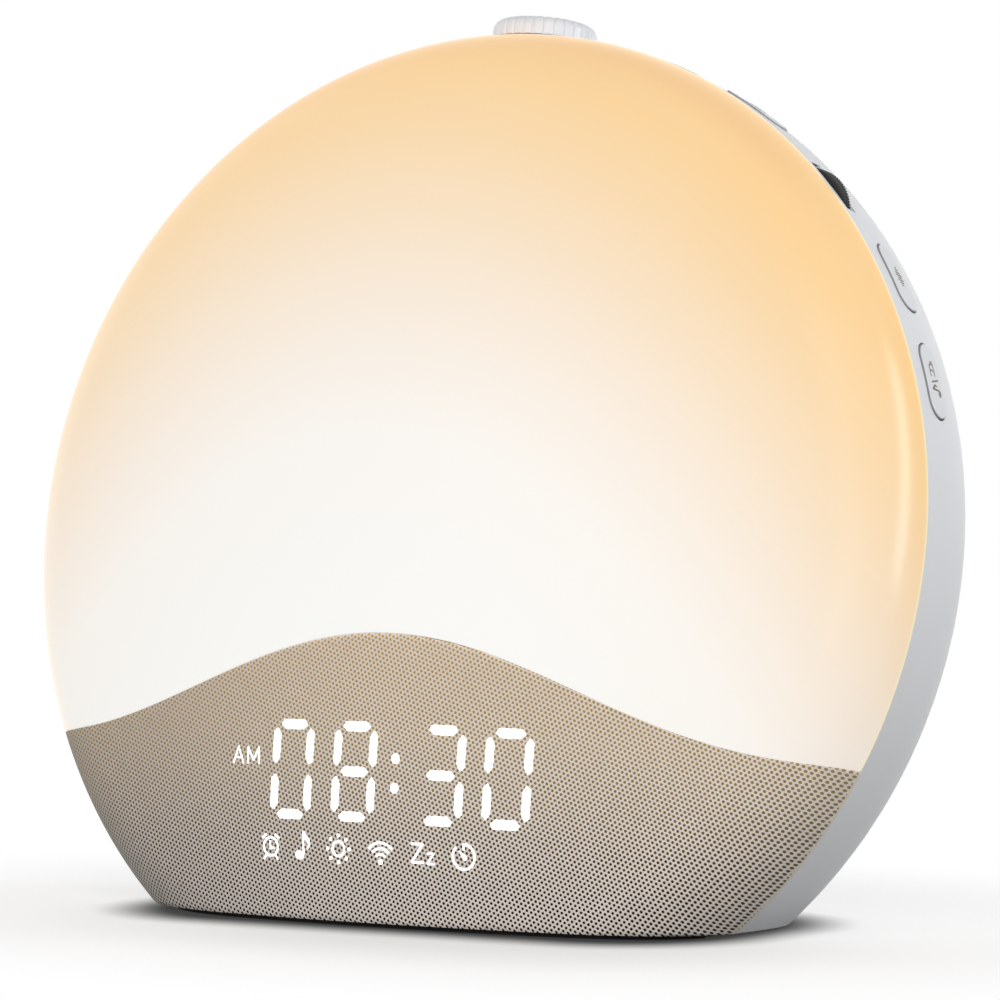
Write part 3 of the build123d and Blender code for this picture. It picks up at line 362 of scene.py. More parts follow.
# mouldedGrain: the fine texture, slight tone drift and dulled patches of a moulded surface
mouldedGrain, grainIn, grainOut = newGroup(
    "mouldedGrain", Color="Color", Drift="Float", Scale="Float", Roughness="Float", Spread="Float")
grainSpot = objectSpot(mouldedGrain)
grainFine = noise(mouldedGrain, grainSpot, grainIn.outputs["Scale"], grainLook["fineDetail"])
grainWide = noise(mouldedGrain, grainSpot, grainLook["wideScale"], grainLook["wideDetail"],
                  grainLook["rough"])
grainSwing = math(mouldedGrain, "SUBTRACT", grainWide, 0.5)
grainTone = math(mouldedGrain, "MULTIPLY_ADD", grainSwing, grainIn.outputs["Drift"], 1.0)
grainHue = node(mouldedGrain, "HueSaturation",
                {"Value": grainTone, "Color": grainIn.outputs["Color"]})
grainRough = math(mouldedGrain, "MULTIPLY_ADD", grainSwing, grainIn.outputs["Spread"],
                  grainIn.outputs["Roughness"])
putOut(mouldedGrain, grainOut, grainHue.outputs[0], grainRough, grainFine)

# brushedLines: fine drawn or turned lines with small tone steps
brushedLines, brushIn, brushOut = newGroup(
    "brushedLines", Color="Color", Roughness="Float", Stretch="Vector")
brushSpot = vectorMath(brushedLines, "MULTIPLY", objectSpot(brushedLines),
                       brushIn.outputs["Stretch"])
brushNoise = noise(brushedLines, brushSpot, 1.0, brushLook["detail"], brushLook["rough"])
brushShare = fade(brushedLines, brushNoise, *brushLook["from"], 0.0, brushLook["share"])
brushColor = blendColor(brushedLines, brushShare, brushIn.outputs["Color"], brushLook["dark"])
brushRough = math(brushedLines, "MULTIPLY_ADD", brushNoise, brushLook["dull"],
                  brushIn.outputs["Roughness"])
putOut(brushedLines, brushOut, brushColor, brushRough, brushNoise)

# boardTracks: copper tracks and pads under a coloured solder mask
boardTracks, trackIn, trackOut = newGroup("boardTracks", Mask="Color", Track="Color")
trackSpot = node(boardTracks, "Mapping", {
    "Rotation": (np.radians(trackLook["tilt"]), 0.0, 0.0),
    "Vector": objectSpot(boardTracks)}).outputs[0]
trackBrick = node(boardTracks, "TexBrick", {
    "Scale": trackLook["scale"], "Mortar Size": trackLook["gap"],
    "Brick Width": trackLook["width"], "Row Height": trackLook["height"], "Vector": trackSpot})
trackCells = node(boardTracks, "TexVoronoi", {"Scale": trackLook["padScale"], "Vector": trackSpot})
trackPads = fade(boardTracks, trackCells.outputs["Distance"], *trackLook["padEdge"], 1.0, 0.0)
trackLines = math(boardTracks, "MAXIMUM", trackBrick.outputs["Fac"], trackPads)
trackColor = blendColor(boardTracks, trackLines, trackIn.outputs["Mask"], trackIn.outputs["Track"])
trackRough = math(boardTracks, "MULTIPLY_ADD", trackLines,
                  trackLook["trackRough"] - trackLook["maskRough"], trackLook["maskRough"])
putOut(boardTracks, trackOut, trackColor, trackRough, trackLines)


def groupInto(tree, shader, made, bump, strength):
    color, rough, height = made.outputs
    feed(tree, shader, {"Base Color": color, "Roughness": rough})
    bumpInto(tree, shader, height, bump, strength)


def plasticFinish(name, color, roughness=0.4, drift=0.05, scale=900.0, spread=0.06, bump=0.00002):
    material, tree, shader = newMaterial(name)
    grain = useGroup(tree, mouldedGrain, Color=color, Drift=drift, Scale=scale,
                     Roughness=roughness, Spread=spread)
    groupInto(tree, shader, grain, bump, strength=0.5)
    return material


def metalFinish(name, color, roughness, stretch=(40.0, 900.0, 900.0)):
    material, tree, shader = newMaterial(name)
    lines = useGroup(tree, brushedLines, Color=color, Roughness=roughness, Stretch=stretch)
    feed(tree, shader, {"Metallic": 1.0})
    groupInto(tree, shader, lines, bump=0.00001, strength=0.4)
    return material


def boardFinish(name, mask, track):
    material, tree, shader = newMaterial(name)
    tracks = useGroup(tree, boardTracks, Mask=mask, Track=track)
    groupInto(tree, shader, tracks, bump=0.00003, strength=0.6)
    return material


# light dome

glow = {
    "centre": (-6.8, -158.8),        # of the ellipses along which the tone is even
    "reach": (165.3, 272.0),
    "power": 3.62,
    "stops": [(0.08, (0.965, 0.965, 0.940)), (0.20, (0.958, 0.925, 0.880)),
              (0.31, (0.948, 0.838, 0.725)), (0.42, (0.945, 0.765, 0.565)),
              (0.54, (0.950, 0.705, 0.430)), (0.68, (0.958, 0.650, 0.320))],
    "farShade": (0.89, 0.71, 0.55),       # painted shade: what is left of the tone round the far edges
    "farLeft": (10.0, -55.0),        # where it sets in: on the left, at the top, at the edge
    "farTop": (45.0, 80.0, 0.0, 0.40),
    "farEdge": (15.0, 8.0),
    "band": (0.985, 0.62, 0.24),     # deeper tone of the rounded edge
    "bandEdge": (7.5, 0.8, 0.0, 0.55),
    "bandRise": (-45.0, 30.0),
    "line": (0.96, 0.86, 0.52),      # pale line at the seam, on the right
    "lineEdge": (0.75, 0.35, 0.0, 0.8),
    "lineRight": (35.0, 65.0),
    "mottle": (1.0, 0.86, 0.66),
    "mottleScale": 14.0,
    "mottleShare": (0.35, 0.65, 0.0, 0.05),
    "lit": 0.62,                     # share of the tone that comes from inside
    "body": 0.40,
    "rough": 0.22,
    "mirror": 0.22,
    "fineScale": 1100.0,
    "wall": 2.0,
    "turns": 720,
    "rings": 140,
    "innerRings": 24,
    "cornerSpan": 0.06,              # more spokes beside the two ends of the wave, in radians
    "cornerSpokes": 25,
    "pole": 0.01,                    # radius of the closed point in the middle
}


def glowFinish():
    material, tree, shader = newMaterial("opalGlow")
    across, rise, forward = discSpot(tree)
    # distance from a low centre, in an ellipse's own units, raised to a power
    parts = []
    for value, centre, reach in zip((across, rise), glow["centre"], glow["reach"]):
        part = math(tree, "DIVIDE", math(tree, "SUBTRACT", value, centre), reach)
        parts.append(math(tree, "MULTIPLY", part, part))
    away = math(tree, "SQRT", math(tree, "ADD", *parts))
    tone = ramp(tree, math(tree, "POWER", away, glow["power"]), glow["stops"])
    # the rounded edge takes another tone along each side; on the left and the top, painted shade
    # darkens it towards the edge
    shadedSides = math(tree, "MAXIMUM", fade(tree, across, *glow["farLeft"]),
                    fade(tree, rise, *glow["farTop"]))
    # painted shade on the left and top edges, then the deeper band and the pale line at the seam
    for edge, side, other, way in (
            ("farEdge", shadedSides, "farShade", "MULTIPLY"),
            ("bandEdge", fade(tree, rise, *glow["bandRise"]), "band", "MIX"),
            ("lineEdge", fade(tree, across, *glow["lineRight"]), "line", "MIX")):
        share = math(tree, "MULTIPLY", fade(tree, forward, *glow[edge]), side)
        tone = blendColor(tree, share, tone, glow[other], way)
    mottle = noise(tree, objectSpot(tree), glow["mottleScale"])
    tone = blendColor(tree, fade(tree, mottle, *glow["mottleShare"]), tone, glow["mottle"])
    # the surface colour is the glow's tone at a lower level: the lamp's warm glow is painted into
    # the colour as well
    body = blendColor(tree, 1.0, tone, (glow["body"],) * 3, "MULTIPLY")
    feed(tree, shader, {
        "Base Color": body, "Emission Color": tone, "Emission Strength": glow["lit"],
        "Roughness": glow["rough"], "Specular IOR Level": glow["mirror"]})
    bumpInto(tree, shader, noise(tree, objectSpot(tree), glow["fineScale"], 2.0), 0.00001, 0.25)
    return material


def profileReach(inset, steps=4000):
    # length along the front's profile from the middle to each of many radii, closer at the edge
    radii = (disc["radius"] - inset) * np.sin(np.linspace(0, np.pi / 2, steps))
    pieces = np.hypot(np.diff(radii), np.diff(frontHeight(radii, inset)))
    return radii, np.concatenate([[0], np.cumsum(pieces)])


def spokeReach(turns, limit, within):
    # radius at which each spoke leaves an area, found by halving; the limit where it doesn't
    low, high = np.zeros_like(turns), np.full_like(turns, limit)
    for _ in range(50):
        middle = (low + high) / 2
        inside = within(middle)
        low, high = np.where(inside, middle, low), np.where(inside, high, middle)
    return high


def waveReach(turns):
    # along a spoke to the wave line
    return spokeReach(turns, disc["radius"],
                      lambda reach: reach * np.sin(turns) > waveLine(reach * np.cos(turns)))


def waveEnds():
    # the two angles at which the wave line meets the rim
    turns = np.linspace(-np.pi, 0, 20001)
    crossed = turns[waveReach(turns) < disc["radius"] - 1e-6]
    return crossed[0], crossed[-1]


def domePatch(turns, limit, rings, inset):
    # the same rings on every spoke, each held at the spoke's own limit
    radii, lengths = profileReach(inset)
    radius = np.interp(np.linspace(0, lengths[-1], rings), lengths, radii)
    edge = np.minimum(limit, disc["radius"] - inset)[:, None]
    radius = np.minimum(np.maximum(radius, glow["pole"]), edge)
    return place(radius * np.cos(turns)[:, None], radius * np.sin(turns)[:, None],
                 frontHeight(radius, inset))


leftEnd, rightEnd = waveEnds()
besideEnd = np.linspace(0, glow["cornerSpan"], glow["cornerSpokes"])
domeTurns = np.unique(np.round(np.concatenate([
    np.linspace(0, 2 * np.pi, glow["turns"], endpoint=False),
    np.mod(leftEnd + besideEnd, 2 * np.pi), np.mod(rightEnd - besideEnd, 2 * np.pi)]), 6))
domeLimit = waveReach(domeTurns)
outerDome = domePatch(domeTurns, domeLimit, glow["rings"], 0.0)
innerDome = domePatch(domeTurns, domeLimit, glow["innerRings"], glow["wall"])
domeWall = np.concatenate([outerDome, innerDome[:, ::-1]], axis=1)
glowDome = makePiece("glowDome", domeWall, gridFaces(*domeWall.shape[:2], wrapRows=True),
                     sharp=35, merge=2e-5)
opalGlow = glowFinish()
glowDome.data.materials.append(opalGlow)
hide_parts("diffuser_dome")
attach(glowDome, "housing")
print("light dome made")


# cloth panel

cloth = {
    "thick": 0.55,
    "cell": (0.812, 1.556),          # staggered holes: step along a row, and two rows
    "turn": -43.6,
    "follow": 0.3,                   # how far the knit follows the rounded edge
    # both tones run with the height: the threads turn a little warmer and the holes go from near
    # black to a warm amber towards the top, painted glow of the lit dome
    "thread": [(0.0, (0.84, 0.76, 0.70)), (0.45, (0.85, 0.77, 0.695)), (1.0, (0.82, 0.735, 0.65))],
    "hole": [(0.0, (0.018, 0.008, 0.003)), (0.2, (0.080, 0.045, 0.013)),
             (0.4, (0.24, 0.155, 0.048)), (0.6, (0.42, 0.27, 0.080)), (1.0, (0.60, 0.36, 0.095))],
    "levels": (-68.0, -20.0),        # rises between which both tones run, from the bottom up to the painted glow
    "holeSize": (0.20, 0.31),        # from the hole's middle to where the thread is whole
    "wander": 0.04,                  # how uneven the holes' edges are
    "wanderScale": 0.35,
    "hem": (0.62, 0.34),             # forward of the seam, where the knit closes to a plain hem
    "hemTone": (0.86, 0.74, 0.56),
    "hemShare": 0.6,
    # painted shade: the threads darken towards the left, by up to this share, towards the shade's
    # tone
    "shade": (-80.0, 5.0, 0.44, 0.0),
    "shadeTone": (0.20, 0.175, 0.15),
    "fibre": (0.3, 0.75, 0.0, 0.18),
    "fibreTone": (0.40, 0.34, 0.27),
    "fibreScale": 9.0,
    "fibreRelief": 0.12,             # share of the relief that the fibres have
    "mirror": 0.25,
    "sheen": (0.12, 0.5),            # its weight and its roughness
    "rough": (0.72, 0.15),           # in a hole, and what the thread adds
    "relief": 0.00022,
    "seam": 0.15,                    # gap to the dome along the wave
    "lip": 0.35,                     # how far both edges turn in
    "spare": 0.0002,                 # left free at both ends, in radians
    "least": 0.02,
    "columns": 500,
    "rings": 110,
    "underRings": 40,
}


def clothFinish():
    material, tree, shader = newMaterial("knittedCloth")
    flat = node(tree, "UVMap", uv_map="threadMap").outputs[0]
    turned = node(tree, "Mapping", {"Rotation": (0, 0, np.radians(cloth["turn"])), "Vector": flat})
    wide, tall = cloth["cell"]

    def nearest(shift):
        # distance to the nearest point of one rectangular lattice
        moved = vectorMath(tree, "ADD", turned.outputs[0], (shift * wide, shift * tall, 0))
        spot = vectorMath(tree, "FRACTION", vectorMath(tree, "DIVIDE", moved, (wide, tall, 1.0)))
        spot = vectorMath(tree, "SUBTRACT", spot, (0.5, 0.5, 0.5))
        return vectorMath(tree, "LENGTH", vectorMath(tree, "MULTIPLY", spot, (wide, tall, 0)))

    # a staggered lattice is two rectangular ones, the second moved by half a cell
    away = math(tree, "MINIMUM", nearest(0), nearest(0.5))
    swing = math(tree, "SUBTRACT", noise(tree, flat, cloth["wanderScale"], 2.0), 0.5)
    away = math(tree, "MULTIPLY_ADD", swing, cloth["wander"], away)
    across, rise, forward = discSpot(tree)
    hem = fade(tree, forward, *cloth["hem"])
    thread = math(tree, "MAXIMUM", fade(tree, away, *cloth["holeSize"]), hem)
    level = fade(tree, rise, *cloth["levels"], smooth=False)
    # painted glow towards the top, in the holes most
    threadToneAndShade, holeGlowTone = (ramp(tree, level, cloth[kind]) for kind in ("thread", "hole"))
    fibre = noise(tree, flat, cloth["fibreScale"], rough=0.65)
    # painted shade towards the left, then the plain hem's tone and the fibres
    for share, tone in ((fade(tree, across, *cloth["shade"]), cloth["shadeTone"]),
                        (math(tree, "MULTIPLY", hem, cloth["hemShare"]), cloth["hemTone"]),
                        (fade(tree, fibre, *cloth["fibre"]), cloth["fibreTone"])):
        threadToneAndShade = blendColor(tree, share, threadToneAndShade, tone)
    feed(tree, shader, {
        "Base Color": blendColor(tree, thread, holeGlowTone, threadToneAndShade),
        "Roughness": math(tree, "MULTIPLY_ADD", thread, cloth["rough"][1], cloth["rough"][0]),
        "Specular IOR Level": cloth["mirror"],
        "Sheen Weight": cloth["sheen"][0], "Sheen Roughness": cloth["sheen"][1]})
    height = math(tree, "MULTIPLY_ADD", fibre, cloth["fibreRelief"], thread)
    bumpInto(tree, shader, height, cloth["relief"], 0.8)
    return material


def baseReach(turns, inset):
    # along a spoke down to the flat base
    def above(reach):
        spots = place(reach * np.cos(turns), reach * np.sin(turns), frontHeight(reach, inset))
        return spots[..., 2] * 1000 > disc["base"]
    return spokeReach(turns, disc["radius"] - inset, above)


def clothPatch(inset, rings, lip):
    # spokes between the wave line and the rim or the flat base, with rings evenly spaced along the
    # front's profile; the edges turn in by a square over the lip's width
    turns = np.linspace(leftEnd + cloth["spare"], rightEnd - cloth["spare"], cloth["columns"])
    inner = waveReach(turns) + cloth["seam"]
    outer = np.minimum(baseReach(turns, inset), disc["radius"] - inset)
    outer = np.maximum(outer, inner + cloth["least"])
    radii, lengths = profileReach(inset)
    first, last = (np.interp(edge, radii, lengths)[:, None] for edge in (inner, outer))
    reach = first + (last - first) * np.linspace(0, 1, rings)
    radius = np.interp(reach, lengths, radii)
    height = frontHeight(radius, inset)
    if lip:
        near = np.minimum(reach - first, last - reach)
        height = height - lip * np.clip(1 - near / lip, 0, 1) ** 2
    ring = np.stack([np.cos(turns), np.sin(turns)], -1)[:, None, :]
    flat = (radius + cloth["follow"] * (reach - radius))[..., None] * ring
    spots = radius[..., None] * ring
    return place(spots[..., 0], spots[..., 1], height), flat


clothTop, topMap = clothPatch(0.0, cloth["rings"], cloth["lip"])
clothUnder, underMap = clothPatch(cloth["thick"], cloth["underRings"], 0.0)
clothGrid = np.concatenate([clothTop, clothUnder[:, ::-1]], axis=1)
clothMap = np.concatenate([topMap, underMap[:, ::-1]], axis=1)
clothFaces = gridFaces(*clothGrid.shape[:2], wrapColumns=True)
speakerCloth = makePiece("speakerCloth", clothGrid, clothFaces, sharp=50, merge=5e-6, uv=clothMap)
knittedCloth = clothFinish()
speakerCloth.data.materials.append(knittedCloth)
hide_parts("fabric_cover")
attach(speakerCloth, "housing")
clothCells = np.cross(clothTop[1:, :-1] - clothTop[:-1, :-1],
                      clothTop[:-1, 1:] - clothTop[:-1, :-1])
print("cloth made, area", round(float(np.linalg.norm(clothCells, axis=-1).sum()), 5))


# flat marks: each is the space between two edges, given a little thickness

display = {
    "middles": (-19.34, -5.65, 12.48, 25.91),     # of the four digits
    "halves": (3.72, 3.81, 3.95, 3.88),
    "level": -45.95,
    "rise": 7.95,
    "postRise": 1.03,                             # the upright bars lie a little further out
    "slant": 0.064,
    "bar": (5.85, 1.76),
    "post": (6.35, 1.66),
    # half of a bar as shares of its length: at its points, and in the straight runs of its two
    # sides, by which side is the outer one; of its width: at a point, beside it, along the sides
    "tip": 0.5,
    "runs": {1: (0.395, 0.320), 0: (0.36, 0.36), -1: (0.320, 0.395)},
    "taper": (0.03, 0.10, 0.5),
    "shown": ("abcdef", "abcdefg", "abcdg", "abcdef"),
    "colon": ((3.14, -43.35), (2.95, -48.55)),
    "colonHalf": (0.86, 0.95),
    "stroke": 0.35,
    "letterSize": 0.93,
    "lift": 0.02,
    "thick": 0.03,
}


def ribbon(path, width):
    # both edges of a stroke: the path moved sideways by half its width
    path = np.asarray(path, float)
    along = np.gradient(path, axis=0)
    along /= np.linalg.norm(along, axis=1, keepdims=True)
    half = np.broadcast_to(width, len(path))[:, None] / 2
    sideways = np.stack([-along[:, 1], along[:, 0]], -1) * half
    return path + sideways, path - sideways


def arc(centre, radius, start, end, steps=24):
    # points round part of a circle, between two angles in degrees
    turns = np.radians(np.linspace(start, end, steps))
    return np.stack([centre[0] + radius * np.cos(turns), centre[1] + radius * np.sin(turns)], -1)


def ringMark(centre, radius, width):
    # a stroke along a whole circle
    return ribbon(arc(centre, radius, 0, 360, 40), width)


def dot(centre, across, rise, steps=13, tilt=0.0):
    # an ellipse as the space between its upper and lower halves
    turns = np.linspace(0, np.pi, steps)
    upper = np.stack([across * np.cos(turns), rise * np.sin(turns)], -1)
    spin = np.array([[np.cos(tilt), np.sin(tilt)], [-np.sin(tilt), np.cos(tilt)]])
    return upper @ spin + centre, (upper * (1, -1)) @ spin + centre


def strokes(lines, width):
    # each straight run of each line becomes one ribbon, a little longer so that corners close
    made = []
    for line in lines:
        for first, last in zip(line[:-1], line[1:]):
            first, last = np.asarray(first, float), np.asarray(last, float)
            reach = (last - first) / np.linalg.norm(last - first) * width * 0.42
            made.append(ribbon([first - reach, last + reach], width))
    return made


def markPiece(name, marks, onto, thick):
    # marks laid on a surface: a skin on top, one below it, and walls between
    parts = []
    for left, right in marks:
        rows = [onto(left, thick), onto(right, thick), onto(right, 0.0), onto(left, 0.0)]
        last = 4 * len(left) - 4
        quads = gridFaces(len(left), 4, wrapColumns=True).tolist()
        ends = [[0, 1, 2, 3], [last + 3, last + 2, last + 1, last]]
        parts.append((np.stack(rows, 1), np.array(quads + ends)))
    points, faces = joinParts(parts)
    return makePiece(name, points, faces, sharp=30, merge=1e-7)


def onCloth(spots, lift):
    # flat points set at the height of the front, a little proud
    height = frontHeight(np.hypot(*spots.T)) + display["lift"] + lift
    return place(spots[:, 0], spots[:, 1], height)


def bar(centre, length, width, tilt, outer):
    # a bar with pointed ends; the straight run of its outer side is the longer one
    share = np.array([-1.0, -0.96, -1.0, 0.0, 1.0, 0.96, 1.0])
    tip, (start, point, side) = display["tip"], display["taper"]
    rises = np.array([start, point, side, side, side, point, start])
    along = np.array([np.cos(tilt), np.sin(tilt)])
    sideways = np.array([-along[1], along[0]])

    def edge(run, way):
        reach = share * (tip, tip, run, run, run, tip, tip)
        return centre + reach[:, None] * length * along + way * rises[:, None] * width * sideways

    high, low = display["runs"][outer]
    return edge(high, 1), edge(low, -1)


def digitMarks():
    # the lit bars of each digit round its middle, each moved along by the slant, and the colon
    made = []
    level, rise, slant = display["level"], display["rise"], display["slant"]
    flatBars = {"a": 1, "g": 0, "d": -1}
    posts = {"f": (-1, 0.5), "b": (1, 0.5), "e": (-1, -0.5), "c": (1, -0.5)}
    for middle, half, shown in zip(display["middles"], display["halves"], display["shown"]):
        for name, way in flatBars.items():
            if name in shown:
                lift = way * rise
                made.append(bar((middle + lift * slant, level + lift), *display["bar"], 0.0, way))
        for name, (side, way) in posts.items():
            if name in shown:
                lift = way * rise * display["postRise"]
                spot = (middle + side * half + lift * slant, level + lift)
                made.append(bar(spot, *display["post"], np.pi / 2 - slant, -side))
    return made + [dot(spot, *display["colonHalf"]) for spot in display["colon"]]


def moved(lines, shift, scale):
    # the same lines, scaled and then moved
    return [[(x * scale + shift[0], y * scale + shift[1]) for x, y in line] for line in lines]


def alarmMark(centre, size, width):
    # a round clock with two bells, two feet and its hands
    x, y = centre
    made = [ringMark((x, y - 0.1 * size), 1.52 * size, width)]
    made += [ribbon(arc((x, y - 0.1 * size), 2.22 * size, low, high, 9), width * 1.15)
             for low, high in ((36, 66), (114, 144))]
    feetAndHands = [[(-0.95, -1.5), (-1.45, -2.15)], [(0.95, -1.5), (1.45, -2.15)],
                    [(-0.1, 0.75), (-0.1, -0.35), (0.65, -0.35)]]
    return made + strokes(moved(feetAndHands, centre, size), width * 0.9)


def noteMark(centre, size, width):
    # a note: a tilted head, a stem and a flag that narrows
    x, y = centre
    head = dot((x - 0.55 * size, y - 1.7 * size), 1.0 * size, 0.78 * size, tilt=-0.35)
    wave = np.array([(0.42, 2.45), (0.75, 1.55), (1.45, 0.95), (1.62, 0.1), (1.25, -0.65)])
    flag = ribbon(wave * size + centre, np.array([0.5, 0.75, 0.7, 0.5, 0.25]) * size)
    return [head, flag] + strokes(moved([[(0.35, -1.6), (0.35, 2.35)]], centre, size), width)


def sunMark(centre, size=1.0, width=0.44):
    # a ring with eight dots round it
    spots = arc(centre, 2.35 * size, 0, 360, 9)[:-1]
    return [ringMark(centre, 1.28 * size, width)] + [
        dot(spot, 0.36 * size, 0.36 * size, 9) for spot in spots]


def wavesMark(centre, width=0.46):
    # a dot under three arcs
    low = (centre[0], centre[1] - 1.55)
    return [dot(low, 0.48, 0.48)] + [ribbon(arc(low, radius, 42, 138, 14), width)
                                     for radius in (1.35, 2.35, 3.35)]


def timerMark(centre, size, width):
    # most of a ring, with a hand that widens and a short stroke at the top
    made = [ribbon(arc(centre, 2.2 * size, -225, 92, 40), width)]
    hand = ribbon(np.array([(-0.95, 1.0), (0.1, -0.05), (0.5, -0.5)]) * size + centre,
                  np.array([0.2, 0.75, 0.85]) * size)
    return made + [hand] + strokes(moved([[(0.0, 2.05), (0.0, 1.25)]], centre, size), width * 0.9)


letters = {
    "A": [[(-1.25, -1.5), (0.0, 1.55), (1.25, -1.5)], [(-0.8, -0.5), (0.8, -0.5)]],
    "M": [[(-1.35, -1.5), (-1.35, 1.5), (0.0, -0.9), (1.35, 1.5), (1.35, -1.5)]],
    "Z": [[(-1.1, 1.6), (1.1, 1.6), (-1.1, -1.6), (1.15, -1.6)]],
}

litDigits = markPiece("litDigits", digitMarks(), onCloth, display["thick"])
iconMarks = alarmMark((-24.25, -59.7), 1.06, 0.42) + noteMark((-17.2, -59.35), 1.0, 0.38)
iconMarks += sunMark((-9.1, -59.65)) + wavesMark((-0.05, -60.0))
iconMarks += timerMark((17.15, -59.8), 1.0, 0.44)
for letter, spot, size, width in (
        ("Z", (7.65, -59.65), 1.0, 0.44), ("Z", (10.4, -60.5), 0.56, 0.36),
        ("A", (-31.7, -43.75), display["letterSize"], display["stroke"]),
        ("M", (-28.2, -43.75), display["letterSize"], display["stroke"])):
    iconMarks += strokes(moved(letters[letter], spot, size), width)
litIcons = markPiece("litIcons", iconMarks, onCloth, display["thick"])


chipLook = {"patchScale": 260.0, "patchShare": (0.35, 0.7, 0.0, 0.5), "rough": 0.5}


def lampFinish(name, color, strength, mottleTo):
    # a glowing surface whose tone drifts towards a second one in soft patches
    material, tree, shader = newMaterial(name)
    patch = noise(tree, objectSpot(tree), chipLook["patchScale"], 2.0)
    tone = blendColor(tree, fade(tree, patch, *chipLook["patchShare"]), color, mottleTo)
    feed(tree, shader, {"Base Color": tone, "Emission Color": tone, "Emission Strength": strength,
                        "Roughness": chipLook["rough"]})
    return material


digitLight = lampFinish("digitLight", (1.0, 1.0, 0.99), 0.62, (0.93, 0.93, 0.95))
for piece in (litDigits, litIcons):
    piece.data.materials.append(digitLight)
    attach(piece, "housing")
print("display marks made")


# dial

dial = {
    "across": -1.15, "depth": 9.4, "base": 93.1,     # where it stands on the rim
    "radius": 9.6, "height": 3.6, "shoulder": 2.0, "foot": (0.35, 0.1), "dish": 0.25,
    "ribs": 30, "groove": 0.30, "grooveWidth": 0.10, "perRib": 14,
    "socket": 3.0, "wall": 1.2, "pole": 0.01, "sideSteps": 8, "shoulderSteps": 13,
}


def dialPoints():
    # a profile round the axis, drawn in along its own normal by a bell curve at each groove
    turns = np.linspace(0, 2 * np.pi, dial["ribs"] * dial["perRib"], endpoint=False)
    phase = (turns * dial["ribs"] / (2 * np.pi) + 0.5) % 1 - 0.5
    groove = np.exp(-(phase / dial["grooveWidth"]) ** 2)
    shoulder, radius, top, dish = dial["shoulder"], dial["radius"], dial["height"], dial["dish"]
    socket, pole, lid = dial["socket"], dial["pole"], dial["height"] - dial["wall"]
    side, bendSteps = dial["sideSteps"], dial["shoulderSteps"]
    bend = np.linspace(0, np.pi / 2, bendSteps + 1)[1:]
    sideHeights = np.linspace(0.0, top - shoulder, side)
    sideHeights[0] = 0.1
    radii = np.concatenate([
        [socket, radius - dial["foot"][0], radius - dial["foot"][1]], np.full(side, radius),
        radius - shoulder + shoulder * np.cos(bend),
        [radius - shoulder - 0.5, 5.0, 2.5, pole], [pole, socket, socket]])
    heights = np.concatenate([
        [0, 0, 0.02], sideHeights, top - shoulder + shoulder * np.sin(bend),
        [top - 0.03, top - dish * 0.7, top - dish * 0.95, top - dish], [lid, lid, 0.0]])
    # how much of the groove each point takes, and how far its normal has turned up
    pull = np.concatenate([[0, 0.2, 0.8], np.ones(side), np.linspace(1, 0.55, bendSteps),
                           [0.12, 0, 0, 0], [0, 0, 0]])
    tilt = np.concatenate([np.zeros(side + 3), np.linspace(0, np.pi / 2, bendSteps),
                           np.full(7, np.pi / 2)])
    depth = dial["groove"] * groove[:, None] * pull
    centre = discCentre + acrossAxis * dial["across"] + riseAxis * dial["base"]
    return revolved(radii - depth * np.cos(tilt), heights - depth * np.sin(tilt), turns,
                    centre - frontAxis * dial["depth"], riseAxis, acrossAxis)


dialGrid = dialPoints()
dialCap = makePiece("dialCap", dialGrid, gridFaces(*dialGrid.shape[:2], wrapRows=True),
                    sharp=38, merge=2e-5)
dialCap.data.materials.append(plasticFinish(
    "dialWhite", (0.74, 0.75, 0.78), roughness=0.34, drift=0.06, scale=1400.0, spread=0.08,
    bump=0.00001))
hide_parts("dial_knob")
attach(dialCap, "dial")
print("dial made")


# dimmer wheel

wheel = {
    "angle": 44.1, "proud": 1.2, "front": 1.6,       # where it looks out of the rim
    "radius": 8.0, "thick": 2.8, "bevel": 0.3, "bore": 1.5, "rim": 1.2,
    "teeth": 96, "tooth": 0.28, "perTooth": 6,
}


def wheelPoints():
    # a disc with eased rims, drawn in round its side by an even row of pointed teeth
    turns = np.linspace(0, 2 * np.pi, wheel["teeth"] * wheel["perTooth"], endpoint=False)
    phase = (turns * wheel["teeth"] / (2 * np.pi)) % 1
    cut = wheel["tooth"] * (1 - np.abs(2 * phase - 1)) ** 0.8
    bevel, thick, radius = wheel["bevel"], wheel["thick"], wheel["radius"]
    half = [wheel["bore"], radius - wheel["rim"], radius - bevel, radius]
    radii = np.array(half + [radius] + half[::-1])
    heights = -np.array([0, 0, 0, bevel, thick / 2, thick - bevel, thick, thick, thick])
    pull = np.array([0, 0, 0.7, 1, 1, 1, 0.7, 0, 0])
    turn = np.radians(wheel["angle"])
    distance = disc["radius"] + wheel["proud"] - radius
    centre = discCentre + distance * (np.cos(turn) * acrossAxis + np.sin(turn) * riseAxis)
    return revolved(radii - cut[:, None] * pull, heights, turns,
                    centre - frontAxis * wheel["front"], frontAxis, acrossAxis)


wheelGrid = wheelPoints()
wheelFaces = gridFaces(*wheelGrid.shape[:2], wrapRows=True, wrapColumns=True)
thumbWheel = makePiece("thumbWheel", wheelGrid, wheelFaces, sharp=25)
thumbWheel.data.materials.append(plasticFinish(
    "wheelBlack", (0.007, 0.007, 0.0075), roughness=0.50, drift=0.3, scale=1200.0, spread=0.1))
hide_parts("dimmer_wheel")
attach(thumbWheel, "dimmer")
print("dimmer wheel made")


# marks printed on the rim buttons

buttons = {
    "angles": {"music": 19.1, "noise": 31.9, "light": 59.6, "alarm": 73.0, "timer": 148.1,
               "set": 160.9},
    "depth": 7.6, "rim": 92.85, "draft": 0.05, "back": 46.35, "bend": 3.7,
    "lift": 0.015, "thick": 0.02, "ink": (0.17, 0.13, 0.10),
}


